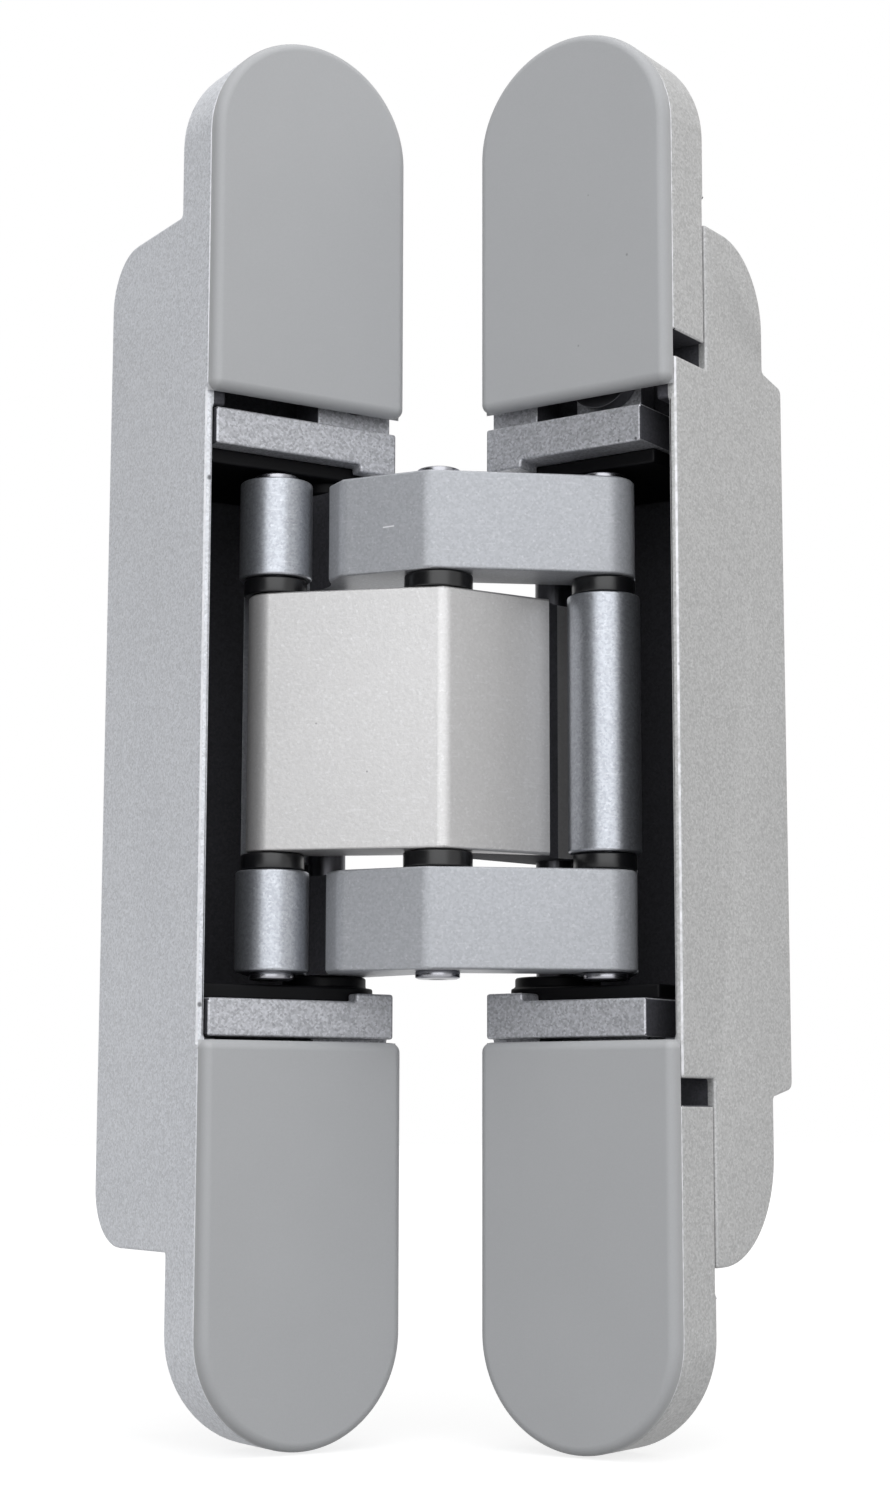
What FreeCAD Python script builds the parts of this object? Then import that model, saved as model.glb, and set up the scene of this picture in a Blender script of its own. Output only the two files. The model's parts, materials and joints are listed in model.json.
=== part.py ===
import FreeCAD, Part

import math
import os

Vector = FreeCAD.Vector

# Concealed two-body door hinge, drawn part open, in millimetres.
# Each body is drawn in its own frame: X runs from the outer edge towards the other body,
# Y runs into the door or the frame from the face of the body, and Z runs up from mid height.
# The frame-side body stays in that frame. The door-side pieces are mirrored and turned by
# the opening at rest, about the centre pivot that both bodies share.

# Overall size of a body
BODY_WIDTH = 25.0
BODY_HEIGHT = 160.0
BODY_DEPTH = 26.0
FLANGE_DEPTH = 7.3
OUTER_WALL = 1.0
REAR_WALL = 1.4
EDGE_BREAK = 0.3
FACE_SET_BACK = 0.4

# Housing behind the frame-side flanges
FRAME_BOX_TOP = 59.4
FRAME_BOX_FOOT = -58.8
FRAME_BOX_CORNER = 6.6
FRAME_FACE_TOP = 37.5
FRAME_FACE_FOOT = -36.3

# Housing of the door side, with its deeper middle
DOOR_BOX_TOP = 57.5
DOOR_BOX_FOOT = -60.2
DOOR_BOX_TOP_CORNER = 9.4
DOOR_BOX_FOOT_CORNER = 12.0
DOOR_BOX_DEPTH = 21.3
DOOR_STEP_TOP = 42.3
DOOR_STEP_FOOT = -40.7
DOOR_STEP_DRAFT = 1.0
DOOR_STEP_ROUND = 1.0

# Face of the door side between its two sliding end plates
DOOR_FACE_TOP = 40.3
DOOR_FACE_FOOT = -39.8
PLATE_NOTCH = 2.9
PLATE_SLIT = 0.3
PLATE_RELIEF = 0.2
NOTCH_SPARE = 0.3

# Cover caps
CAP_THICKNESS = 1.75
CAP_ROUND = 1.3
CAP_TOP_EDGE = 36.9
CAP_FOOT_EDGE = -35.7
CAP_POST_RADIUS = 1.3
CAP_POST_LENGTH = 4.0
CAP_POST_X = 8.5
CAP_POST_Z = 61.5
CAP_POST_FIT = 0.05

# Fixing screws of each body
FIXING_PITCH = 135.0
FIXING_RADIUS = 2.6
FIXING_HEAD_RADIUS = 5.0
FIXING_HEAD_DEPTH = 2.4

# Carriages that hold the arms
SHELF_THICKNESS = 4.2
SHELF_GAP = 0.2
CARRIAGE_SET_IN = 0.1
CARRIAGE_BACK_WALL = 1.5
CARRIAGE_REAR_GAP = 0.9
FRAME_CARRIAGE_SIDE_GAP = 0.25
FRAME_CARRIAGE_INNER = 12.3
DOOR_CARRIAGE_SIDE_GAP = 3.4
DOOR_CARRIAGE_INNER = 12.7
LIP_HEIGHT = 1.8
LIP_LENGTH = 4.8
LIP_POCKET_GAP = 0.2

# Bearing plates between a carriage and its arms
BEARING_RADIUS = 5.5
BEARING_GAP = 1.4
BEARING_THICKNESS = 1.7
BEARING_EDGE_GAP = 0.4
BEARING_RING_RADIUS = 4.2
BEARING_RING_HEIGHT = 1.3

# Chambers for the adjusters, above and below each carriage
CHAMBER_OUTER_WALL = 2.5
FRAME_CHAMBER_HEIGHT = 11.0
FRAME_CHAMBER_DEPTH = 9.2

# Depth adjuster of the frame side
DEPTH_LUG_OUTER = 2.6
DEPTH_LUG_HEIGHT = 10.4
DEPTH_LUG_FRONT = 1.5
DEPTH_LUG_BACK = 6.9
DEPTH_SCREW_X = 7.4
DEPTH_SCREW_RISE = 5.4
DEPTH_SCREW_RADIUS = 1.9
DEPTH_SCREW_HEAD_RADIUS = 3.2
DEPTH_SCREW_HEAD = 2.4
DEPTH_SCREW_LENGTH = 15.0
DEPTH_TRAVEL = 2.0

# Side adjuster of the door side
CAM_X = -2.0
CAM_RISE = 4.9
CAM_RADIUS = 4.2
CAM_THICKNESS = 2.2
CAM_FRONT = 1.2
CAM_NECK_RADIUS = 2.4
CAM_EAR_MARGIN = 0.2
CAM_EAR_THICKNESS = 3.0
CAM_TIP_RADIUS = 1.4
CAM_TIP_LENGTH = 3.2
CAM_THROW = 1.6
CAM_SLOT_GAP = 0.35
SIDE_TRAVEL_OUT = 1.4
SIDE_TRAVEL_IN = 1.0
SIDE_BLOCK_WIDTH = 6.2
SIDE_BLOCK_HEIGHT = 4.5
SIDE_BLOCK_FRONT = 1.5
SIDE_BLOCK_BACK = 6.5

# Clamp screws that hold the door side to its end plates
CLAMP_X = 7.4
CLAMP_Z = 52.0
CLAMP_RADIUS = 2.0
CLAMP_LENGTH = 14.0
CLAMP_HEAD_RADIUS = 3.2
CLAMP_HEAD = 2.4
CLAMP_HEAD_SET_IN = 0.6
CLAMP_SLOT_GAP = 0.3

# Hexagon sockets of the adjusters
SOCKET_ACROSS = 3.0
SOCKET_DEPTH = 1.4

# Pivots of the frame side at rest
REST_OPENING = 113.37
FLAT_OPENING = 180.0
CENTRE_X = 12.12
CENTRE_Y = -9.68
ARM_FOOT_X = 7.85
LINK_FOOT_X = 7.94
LINK_FOOT_GAP = 2.18
FOOT_SPACING = 6.26
ARM_END_X = -1.92
ARM_END_Y = 2.67
LINK_END_SHIFT_X = 0.03
LINK_END_SHIFT_Y = 0.44

# Shares of the opening by which each arm and each link turns in its carriage
ARM_SHARE = 0.5619
LINK_SHARE = 0.4341

# How much further in the pivots of the door side lie
DOOR_SHIFT_X = 1.43
DOOR_SHIFT_Y = 1.39

# Arms and links
LINKAGE_HALF = 28.0
MIDDLE_HALF = 14.7
LEVEL_GAP = 2.0
BARREL_RADIUS = 4.15
LEAF_END_RADIUS = 3.8
MIDDLE_END_RADIUS = 3.2
CENTRE_RADIUS = 3.85
FOOT_RADIUS = 3.85
OUTER_RIDGE_X = -3.2
OUTER_RIDGE_Y = -3.0
MIDDLE_RIDGE_X = -1.6
MIDDLE_RIDGE_Y = -3.95
OUTER_WING_X = 3.0
OUTER_WING_Y = -3.3
MIDDLE_WING_X = 4.9
MIDDLE_WING_Y = 2.0
WING_ROUND = 0.8
RIDGE_ROUND = 0.5
ARM_EDGE_BREAK = 0.3
WEB_OFFSET = 3.2
WEB_THICKNESS = 2.0
WEB_START = 1.5

# Pins and washers
PIN_RADIUS = 2.15
PIN_WAIST = 1.15
PIN_FIT = 0.05
PIN_HEAD_RADIUS = 2.5
PIN_HEAD = 0.9
PIN_SEAT = 3.2
WASHER_RADIUS = 3.0
WASHER_GAP = 0.1
OPEN_PIVOT_PLAY = 1.35
RUN_GAP = 0.35

# Places that follow from the sizes above
HALF_WIDTH = BODY_WIDTH / 2
HALF_HEIGHT = BODY_HEIGHT / 2
BEARING_FACE = LINKAGE_HALF + BEARING_GAP
SHELF_INNER = BEARING_FACE + BEARING_THICKNESS
SHELF_OUTER = SHELF_INNER + SHELF_THICKNESS
CAVITY_HALF = SHELF_OUTER + SHELF_GAP
CAVITY_DEPTH = BODY_DEPTH - REAR_WALL
CARRIAGE_BACK = CAVITY_DEPTH - DEPTH_TRAVEL - CARRIAGE_REAR_GAP - CARRIAGE_BACK_WALL
LINK_FOOT_Y = CARRIAGE_BACK - FOOT_RADIUS - LINK_FOOT_GAP
ARM_FOOT_Y = LINK_FOOT_Y - FOOT_SPACING
OUTER_FACE = -HALF_WIDTH + OUTER_WALL
CHAMBER_OUTER = -HALF_WIDTH + CHAMBER_OUTER_WALL
LEAF_FOOT = MIDDLE_HALF + LEVEL_GAP
HEIGHT_TRAVEL = PLATE_NOTCH - NOTCH_SPARE
PLATE_TOP_END = DOOR_FACE_TOP + PLATE_NOTCH
PLATE_FOOT_END = DOOR_FACE_FOOT - PLATE_NOTCH
DOOR_LEDGE = FLANGE_DEPTH + PLATE_SLIT

CENTRE = Vector(CENTRE_X, CENTRE_Y, 0)
ARM_FOOT = Vector(ARM_FOOT_X, ARM_FOOT_Y, 0)
LINK_FOOT = Vector(LINK_FOOT_X, LINK_FOOT_Y, 0)
ARM_END = Vector(ARM_END_X, ARM_END_Y, 0)
LINK_END = ARM_END + Vector(LINK_END_SHIFT_X, LINK_END_SHIFT_Y, 0)
DOOR_SHIFT = Vector(DOOR_SHIFT_X, DOOR_SHIFT_Y, 0)
NO_SHIFT = Vector(0, 0, 0)
FRAME_CARRIAGE_OUTER = OUTER_FACE + FRAME_CARRIAGE_SIDE_GAP
DOOR_CARRIAGE_OUTER = OUTER_FACE + DOOR_CARRIAGE_SIDE_GAP

UPPER = 1
LOWER = -1
BOTH_ENDS = {"upper": UPPER, "lower": LOWER}


def to_door(shape):
    """Mirror a shape drawn in a body's own frame and set it on the door side at rest."""
    placed = shape.mirror(Vector(0, 0, 0), Vector(0, 1, 0))
    placed.rotate(Vector(0, 0, 0), Vector(0, 0, 1), REST_OPENING)
    placed.translate(door_point(Vector(0, 0, 0)))
    return placed


def door_direction(offset):
    """Turn a direction of the door side's own frame into the hinge's frame."""
    angle = math.radians(REST_OPENING)
    across = Vector(math.cos(angle), math.sin(angle), 0)
    inward = Vector(math.sin(angle), -math.cos(angle), 0)
    return across * offset.x + inward * offset.y


def door_point(point):
    """Place a point of the door side's own frame in the hinge's frame."""
    return CENTRE + door_direction(point - CENTRE - DOOR_SHIFT)


def block(x_low, x_high, y_low, y_high, z_low, z_high):
    """Rectangular block between two corners."""
    corner = Vector(x_low, y_low, z_low)
    return Part.makeBox(x_high - x_low, y_high - y_low, z_high - z_low, corner)


def end_block(end, x_low, x_high, y_low, y_high, z_near, z_far):
    """Block at the upper or the lower end, with its heights counted from mid height."""
    low, high = sorted((end * z_near, end * z_far))
    return block(x_low, x_high, y_low, y_high, low, high)


def post(centre, radius, z_low, z_high):
    """Upright cylinder."""
    return Part.makeCylinder(radius, z_high - z_low, Vector(centre.x, centre.y, z_low))


def rod(x, z, radius, y_low, y_high):
    """Cylinder that runs straight into a body."""
    return Part.makeCylinder(radius, y_high - y_low, Vector(x, y_low, z), Vector(0, 1, 0))


def prism(points, z_low, z_high):
    """Upright prism on a closed outline of points."""
    base = [Vector(p.x, p.y, z_low) for p in points]
    face = Part.Face(Part.makePolygon(base + base[:1]))
    return face.extrude(Vector(0, 0, z_high - z_low))


def bar(a, radius_a, b, radius_b, z_low, z_high):
    """Upright bar with two round ends, joined by straight tangents."""
    along = (b - a).normalize()
    side = Vector(-along.y, along.x, 0)
    lean = (radius_a - radius_b) / a.distanceToPoint(b)
    spread = math.sqrt(1 - lean * lean)
    left = along * lean + side * spread
    right = along * lean - side * spread
    rise = Vector(0, 0, z_low)
    a = a + rise
    b = b + rise
    edges = [
        Part.LineSegment(a + left * radius_a, b + left * radius_b),
        Part.Arc(b + left * radius_b, b + along * radius_b, b + right * radius_b),
        Part.LineSegment(b + right * radius_b, a + right * radius_a),
        Part.Arc(a + right * radius_a, a - along * radius_a, a + left * radius_a),
    ]
    face = Part.Face(Part.Wire([edge.toShape() for edge in edges]))
    return face.extrude(Vector(0, 0, z_high - z_low))


def slot(x, z, radius, half_length, y_low, y_high):
    """Upright slot with round ends that runs straight into a body."""
    middle = block(x - radius, x + radius, y_low, y_high, z - half_length, z + half_length)
    ends = [rod(x, z + step, radius, y_low, y_high) for step in (-half_length, half_length)]
    return middle.fuse(ends).removeSplitter()


def socket(x, z, y_front):
    """Hexagon socket that opens at the front of a screw."""
    radius = SOCKET_ACROSS / math.sqrt(3)
    corners = [
        Vector(x + radius * math.cos(math.radians(60 * n)), y_front, z + radius * math.sin(math.radians(60 * n)))
        for n in range(6)
    ]
    face = Part.Face(Part.makePolygon(corners + corners[:1]))
    return face.extrude(Vector(0, SOCKET_DEPTH, 0))


def tangent_point(start, centre, radius, turn):
    """Point where a line from start touches a circle, on the left (1) or right (-1) of it."""
    to_centre = centre - start
    reach = to_centre.Length
    angle = math.atan2(to_centre.y, to_centre.x) + turn * math.asin(radius / reach)
    length = math.sqrt(reach * reach - radius * radius)
    return start + Vector(math.cos(angle), math.sin(angle), 0) * length


def upright_edges_at(shape, corner):
    """Upright edges of a shape that stand on one corner of its outline."""
    found = []
    for edge in shape.Edges:
        low, high = edge.BoundBox.ZMin, edge.BoundBox.ZMax
        middle = edge.BoundBox.Center
        flat = math.hypot(middle.x - corner.x, middle.y - corner.y)
        if flat < 0.01 and high - low > 1:
            found.append(edge)
    return found


def edges_on_level(shape, axis, level):
    """Edges of a shape that lie in one plane across an axis (0, 1 or 2)."""
    found = []
    for edge in shape.Edges:
        box = edge.BoundBox
        low = (box.XMin, box.YMin, box.ZMin)[axis]
        high = (box.XMax, box.YMax, box.ZMax)[axis]
        if abs(low - level) < 0.001 and abs(high - level) < 0.001:
            found.append(edge)
    return found


def end_outline(end, z_cut, y):
    """Face of a body's end: straight at its cut and fully round at its tip."""
    centre_z = end * (HALF_HEIGHT - HALF_WIDTH)
    left = Vector(-HALF_WIDTH, y, centre_z)
    right = Vector(HALF_WIDTH, y, centre_z)
    tip = Vector(0, y, end * HALF_HEIGHT)
    low_left = Vector(-HALF_WIDTH, y, z_cut)
    low_right = Vector(HALF_WIDTH, y, z_cut)
    edges = [
        Part.LineSegment(low_left, left),
        Part.Arc(left, tip, right),
        Part.LineSegment(right, low_right),
        Part.LineSegment(low_right, low_left),
    ]
    return Part.Face(Part.Wire([edge.toShape() for edge in edges]))


def end_plate(end, z_cut):
    """Flange at one end of a body, with its front edge broken."""
    plate = end_outline(end, z_cut, 0).extrude(Vector(0, FLANGE_DEPTH, 0))
    return plate.makeChamfer(EDGE_BREAK, outline_edges(plate, 0, z_cut))


def outline_edges(plate, level, z_cut):
    """Edges round the front of an end plate or cap, without the straight cut."""
    found = []
    for edge in edges_on_level(plate, 1, level):
        box = edge.BoundBox
        if abs(box.ZMin - z_cut) > 0.001 or abs(box.ZMax - z_cut) > 0.001:
            found.append(edge)
    return found


def side_profile(points, corners):
    """Prism over the full width of a body, on an outline of depths and heights.

    corners gives the radius of each rounded corner by its place in the outline.
    """
    base = [Vector(-HALF_WIDTH, y, z) for y, z in points]
    solid = Part.Face(Part.makePolygon(base + base[:1])).extrude(Vector(BODY_WIDTH, 0, 0))
    for place, radius in corners.items():
        y, z = points[place]
        edges = [
            edge
            for edge in solid.Edges
            if abs(edge.BoundBox.YMin - y) < 0.001
            and abs(edge.BoundBox.YMax - y) < 0.001
            and abs(edge.BoundBox.ZMin - z) < 0.001
            and abs(edge.BoundBox.ZMax - z) < 0.001
        ]
        solid = solid.makeFillet(radius, edges)
    return solid


def fixing_hole(end):
    """Countersunk hole for one fixing screw."""
    z = end * FIXING_PITCH / 2
    hole = rod(0, z, FIXING_RADIUS, -1, BODY_DEPTH + 1)
    sink = Part.makeCone(
        FIXING_HEAD_RADIUS, FIXING_RADIUS, FIXING_HEAD_DEPTH, Vector(0, 0, z), Vector(0, 1, 0)
    )
    return hole.fuse(sink)


def cap_post_holes(end):
    """Blind holes for the two posts of a cap."""
    radius = CAP_POST_RADIUS + CAP_POST_FIT
    depth = CAP_POST_LENGTH + CAP_POST_FIT
    return [rod(x, end * CAP_POST_Z, radius, -1, depth) for x in (-CAP_POST_X, CAP_POST_X)]


def cavity():
    """Room for the carriage and the folded arms, open at the front and towards the other body."""
    return block(OUTER_FACE, HALF_WIDTH + 1, -1, CAVITY_DEPTH, -CAVITY_HALF, CAVITY_HALF)


def frame_body():
    """Frame-side casting: two flanges, the housing behind them and the open cavity."""
    shape = side_profile(
        [
            (FACE_SET_BACK, FRAME_BOX_FOOT),
            (BODY_DEPTH, FRAME_BOX_FOOT),
            (BODY_DEPTH, FRAME_BOX_TOP),
            (FACE_SET_BACK, FRAME_BOX_TOP),
        ],
        {1: FRAME_BOX_CORNER, 2: FRAME_BOX_CORNER},
    )
    shape = shape.makeChamfer(EDGE_BREAK, long_side_edges(shape, FACE_SET_BACK))
    flanges = [end_plate(UPPER, FRAME_FACE_TOP), end_plate(LOWER, FRAME_FACE_FOOT)]
    shape = shape.fuse(flanges).removeSplitter()
    tools = [cavity()]
    for end in BOTH_ENDS.values():
        far = CAVITY_HALF + FRAME_CHAMBER_HEIGHT
        z = end * (SHELF_OUTER + DEPTH_SCREW_RISE)
        thread_end = DEPTH_LUG_FRONT + DEPTH_SCREW_LENGTH + DEPTH_TRAVEL + RUN_GAP
        tools.append(
            end_block(end, CHAMBER_OUTER, HALF_WIDTH + 1, -1, FRAME_CHAMBER_DEPTH, SHELF_INNER, far)
        )
        tools.append(rod(DEPTH_SCREW_X, z, DEPTH_SCREW_RADIUS + PIN_FIT, 0, thread_end))
        tools.append(fixing_hole(end))
        tools.extend(cap_post_holes(end))
    return shape.cut(tools)


def long_side_edges(shape, level):
    """The two long upright edges of a housing at one depth."""
    return [edge for edge in edges_on_level(shape, 1, level) if edge.BoundBox.ZLength > edge.BoundBox.XLength]


def door_body():
    """Door-side casting: the face and housing that slide behind the two end plates."""
    face = block(
        -HALF_WIDTH, HALF_WIDTH, FACE_SET_BACK, CAVITY_DEPTH, DOOR_FACE_FOOT, DOOR_FACE_TOP
    )
    face = face.makeChamfer(EDGE_BREAK, long_side_edges(face, FACE_SET_BACK))
    housing = side_profile(
        [
            (DOOR_LEDGE, DOOR_BOX_FOOT),
            (DOOR_BOX_DEPTH, DOOR_BOX_FOOT),
            (DOOR_BOX_DEPTH, DOOR_BOX_TOP),
            (DOOR_LEDGE, DOOR_BOX_TOP),
        ],
        {1: DOOR_BOX_FOOT_CORNER, 2: DOOR_BOX_TOP_CORNER},
    )
    step = side_profile(
        [
            (DOOR_LEDGE, DOOR_STEP_FOOT - DOOR_STEP_DRAFT),
            (DOOR_BOX_DEPTH, DOOR_STEP_FOOT - DOOR_STEP_DRAFT),
            (BODY_DEPTH, DOOR_STEP_FOOT),
            (BODY_DEPTH, DOOR_STEP_TOP),
            (DOOR_BOX_DEPTH, DOOR_STEP_TOP + DOOR_STEP_DRAFT),
            (DOOR_LEDGE, DOOR_STEP_TOP + DOOR_STEP_DRAFT),
        ],
        {2: DOOR_STEP_ROUND, 3: DOOR_STEP_ROUND},
    )
    shape = face.fuse([housing, step]).removeSplitter()
    tools = [cavity()]
    for end in BOTH_ENDS.values():
        tools.append(
            end_block(end, CHAMBER_OUTER, HALF_WIDTH + 1, -1, DOOR_LEDGE, SHELF_INNER, HALF_HEIGHT)
        )
        z = end * (SHELF_OUTER + CAM_RISE)
        slot_radius = CAM_TIP_RADIUS + CAM_SLOT_GAP
        slot_end = DOOR_LEDGE + CAM_TIP_LENGTH
        tools.append(slot(CAM_X, z, slot_radius, CAM_THROW + CAM_SLOT_GAP, 0, slot_end))
        clamp_end = CLAMP_HEAD_SET_IN + CLAMP_HEAD + CLAMP_LENGTH + RUN_GAP
        tools.append(rod(CLAMP_X, end * CLAMP_Z, CLAMP_RADIUS + PIN_FIT, 0, clamp_end))
    return shape.cut(tools)


def door_plate(end):
    """End plate that is screwed to the door and slides up and down on the door body."""
    z_cut = PLATE_TOP_END if end == UPPER else PLATE_FOOT_END
    plate = end_plate(end, z_cut)
    ear = CAM_RADIUS + CAM_EAR_MARGIN + RUN_GAP
    notch_left = CAM_X - ear - SIDE_TRAVEL_OUT
    notch_right = CAM_X + ear + SIDE_TRAVEL_IN
    notch_z = SHELF_OUTER + CAM_RISE + HEIGHT_TRAVEL
    notch_radius = (notch_right - notch_left) / 2
    box_end = DOOR_BOX_TOP if end == UPPER else -DOOR_BOX_FOOT
    seat = box_end + HEIGHT_TRAVEL + PLATE_SLIT
    relief_face = FLANGE_DEPTH - PLATE_RELIEF
    tools = [
        end_block(end, -BODY_WIDTH, BODY_WIDTH, relief_face, DOOR_LEDGE, 0, seat),
        end_block(end, notch_left, notch_right, -1, DOOR_LEDGE, SHELF_INNER, notch_z),
        rod((notch_left + notch_right) / 2, end * notch_z, notch_radius, -1, DOOR_LEDGE),
        slot(CLAMP_X, end * CLAMP_Z, CLAMP_RADIUS + CLAMP_SLOT_GAP, HEIGHT_TRAVEL, -1, DOOR_LEDGE),
        slot(
            CLAMP_X,
            end * CLAMP_Z,
            CLAMP_HEAD_RADIUS + CLAMP_SLOT_GAP,
            HEIGHT_TRAVEL,
            -1,
            CLAMP_HEAD_SET_IN + CLAMP_HEAD,
        ),
        fixing_hole(end),
    ]
    tools.extend(cap_post_holes(end))
    return plate.cut(tools)


def cap(end):
    """Cover cap with a rounded rim and two posts that push into its plate."""
    z_cut = CAP_TOP_EDGE if end == UPPER else CAP_FOOT_EDGE
    plate = end_outline(end, z_cut, -CAP_THICKNESS).extrude(Vector(0, CAP_THICKNESS, 0))
    plate = plate.makeFillet(CAP_ROUND, edges_on_level(plate, 1, -CAP_THICKNESS))
    posts = [
        rod(x, end * CAP_POST_Z, CAP_POST_RADIUS, -CAP_THICKNESS / 2, CAP_POST_LENGTH)
        for x in (-CAP_POST_X, CAP_POST_X)
    ]
    return plate.fuse(posts).removeSplitter()


def carriage(outer, inner, shift):
    """C-shaped carriage: an upper and a lower shelf joined by a back wall.

    outer and inner are the ends of its shelves, and shift moves its pin holes.
    """
    back = CARRIAGE_BACK + shift.y
    arm_foot = ARM_FOOT + shift
    link_foot = LINK_FOOT + shift
    wall_back = back + CARRIAGE_BACK_WALL
    shape = block(outer, inner, back, wall_back, -SHELF_OUTER, SHELF_OUTER)
    for end in BOTH_ENDS.values():
        shelf = end_block(end, outer, inner, CARRIAGE_SET_IN, wall_back, SHELF_INNER, SHELF_OUTER)
        lip_face = SHELF_INNER - LIP_HEIGHT
        lip = end_block(
            end, inner - LIP_LENGTH, inner, CARRIAGE_SET_IN, arm_foot.y, lip_face, SHELF_OUTER
        )
        pocket_radius = BEARING_RADIUS + LIP_POCKET_GAP
        low, high = sorted((end * 0, end * SHELF_INNER))
        lip = lip.cut(post(arm_foot, pocket_radius, low, high))
        shape = shape.fuse([shelf, lip])
    shape = shape.removeSplitter()
    seat = SHELF_INNER + PIN_SEAT
    holes = [post(foot, PIN_RADIUS + PIN_FIT, -seat, seat) for foot in (arm_foot, link_foot)]
    return shape.cut(holes)


def frame_carriage():
    """Frame-side carriage with a lug for the depth screw at each end."""
    inner = FRAME_CARRIAGE_INNER
    shape = carriage(FRAME_CARRIAGE_OUTER, inner, NO_SHIFT)
    lug_top = SHELF_OUTER + DEPTH_LUG_HEIGHT
    tools = []
    for end in BOTH_ENDS.values():
        lug = end_block(
            end, DEPTH_LUG_OUTER, inner, DEPTH_LUG_FRONT, DEPTH_LUG_BACK, SHELF_OUTER, lug_top
        )
        shape = shape.fuse(lug)
        z = end * (SHELF_OUTER + DEPTH_SCREW_RISE)
        head_end = DEPTH_LUG_FRONT + DEPTH_SCREW_HEAD
        tools.append(rod(DEPTH_SCREW_X, z, DEPTH_SCREW_RADIUS + PIN_FIT, 0, DEPTH_LUG_BACK + 1))
        tools.append(rod(DEPTH_SCREW_X, z, DEPTH_SCREW_HEAD_RADIUS + PIN_FIT, 0, head_end))
    return shape.removeSplitter().cut(tools)


def depth_screw(end):
    """Depth screw, held by its head in the lug and threaded into the frame body."""
    z = end * (SHELF_OUTER + DEPTH_SCREW_RISE)
    head_end = DEPTH_LUG_FRONT + DEPTH_SCREW_HEAD
    head = rod(DEPTH_SCREW_X, z, DEPTH_SCREW_HEAD_RADIUS, DEPTH_LUG_FRONT, head_end)
    shank_end = DEPTH_LUG_FRONT + DEPTH_SCREW_LENGTH
    shank = rod(DEPTH_SCREW_X, z, DEPTH_SCREW_RADIUS, DEPTH_LUG_FRONT, shank_end)
    return head.fuse(shank).removeSplitter().cut(socket(DEPTH_SCREW_X, z, DEPTH_LUG_FRONT))


def door_carriage():
    """Door-side carriage with an ear for the side cam and a guide block at each end."""
    inner = DOOR_CARRIAGE_INNER
    shape = carriage(DOOR_CARRIAGE_OUTER, inner, DOOR_SHIFT)
    ear_front = CAM_FRONT + CAM_THICKNESS
    ear_back = ear_front + CAM_EAR_THICKNESS
    ear_radius = CAM_RADIUS + CAM_EAR_MARGIN
    cam_z = SHELF_OUTER + CAM_RISE
    necks = []
    for end in BOTH_ENDS.values():
        base = end_block(
            end, CAM_X - ear_radius, CAM_X + ear_radius, ear_front, ear_back, SHELF_OUTER, cam_z
        )
        ear = rod(CAM_X, end * cam_z, ear_radius, ear_front, ear_back)
        guide = end_block(
            end,
            inner - SIDE_BLOCK_WIDTH,
            inner,
            SIDE_BLOCK_FRONT,
            SIDE_BLOCK_BACK,
            SHELF_OUTER,
            SHELF_OUTER + SIDE_BLOCK_HEIGHT,
        )
        shape = shape.fuse([base, ear, guide])
        necks.append(rod(CAM_X, end * cam_z, CAM_NECK_RADIUS + PIN_FIT, 0, ear_back + 1))
    return shape.removeSplitter().cut(necks)


def side_cam(end):
    """Side cam: a disc with a socket, a neck in the ear and an offset tip in the body's slot."""
    z = end * (SHELF_OUTER + CAM_RISE)
    disc_end = CAM_FRONT + CAM_THICKNESS
    neck_end = disc_end + CAM_EAR_THICKNESS + RUN_GAP
    disc = rod(CAM_X, z, CAM_RADIUS, CAM_FRONT, disc_end)
    neck = rod(CAM_X, z, CAM_NECK_RADIUS, CAM_FRONT, neck_end)
    tip_end = DOOR_LEDGE + CAM_TIP_LENGTH - RUN_GAP
    tip = rod(CAM_X, z + end * CAM_THROW, CAM_TIP_RADIUS, neck_end - RUN_GAP / 2, tip_end)
    cam = disc.fuse([neck, tip]).removeSplitter()
    return cam.cut(socket(CAM_X, z, CAM_FRONT))


def clamp_screw(end):
    """Clamp screw that ties an end plate to the door body."""
    z = end * CLAMP_Z
    front = CLAMP_HEAD_SET_IN
    head_end = front + CLAMP_HEAD
    head = rod(CLAMP_X, z, CLAMP_HEAD_RADIUS, front, head_end)
    shank = rod(CLAMP_X, z, CLAMP_RADIUS, front, head_end + CLAMP_LENGTH)
    return head.fuse(shank).removeSplitter().cut(socket(CLAMP_X, z, front))


def bearing_plate(end, outer, inner, shift):
    """Black bearing plate under a shelf, round at its inner end, with a ring round the arm pin."""
    arm_foot = ARM_FOOT + shift
    link_foot = LINK_FOOT + shift
    low, high = sorted((end * BEARING_FACE, end * SHELF_INNER))
    front = arm_foot.y - BEARING_RADIUS
    back = CARRIAGE_BACK + shift.y - BEARING_EDGE_GAP
    plate = block(outer + BEARING_EDGE_GAP, arm_foot.x, front, back, low, high)
    ends = bar(arm_foot, BEARING_RADIUS, link_foot, BEARING_RADIUS, low, high)
    plate = plate.fuse(ends).removeSplitter()
    beyond = inner - LIP_POCKET_GAP
    plate = plate.cut(block(beyond, beyond + BODY_WIDTH, -BODY_DEPTH, BODY_DEPTH, low, high))
    ring_low, ring_high = sorted((end * (BEARING_FACE - BEARING_RING_HEIGHT), end * SHELF_INNER))
    plate = plate.fuse(post(arm_foot, BEARING_RING_RADIUS, ring_low, ring_high)).removeSplitter()
    holes = [
        post(foot, PIN_RADIUS + PIN_FIT, -SHELF_OUTER, SHELF_OUTER) for foot in (arm_foot, link_foot)
    ]
    return plate.cut(holes)


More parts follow.
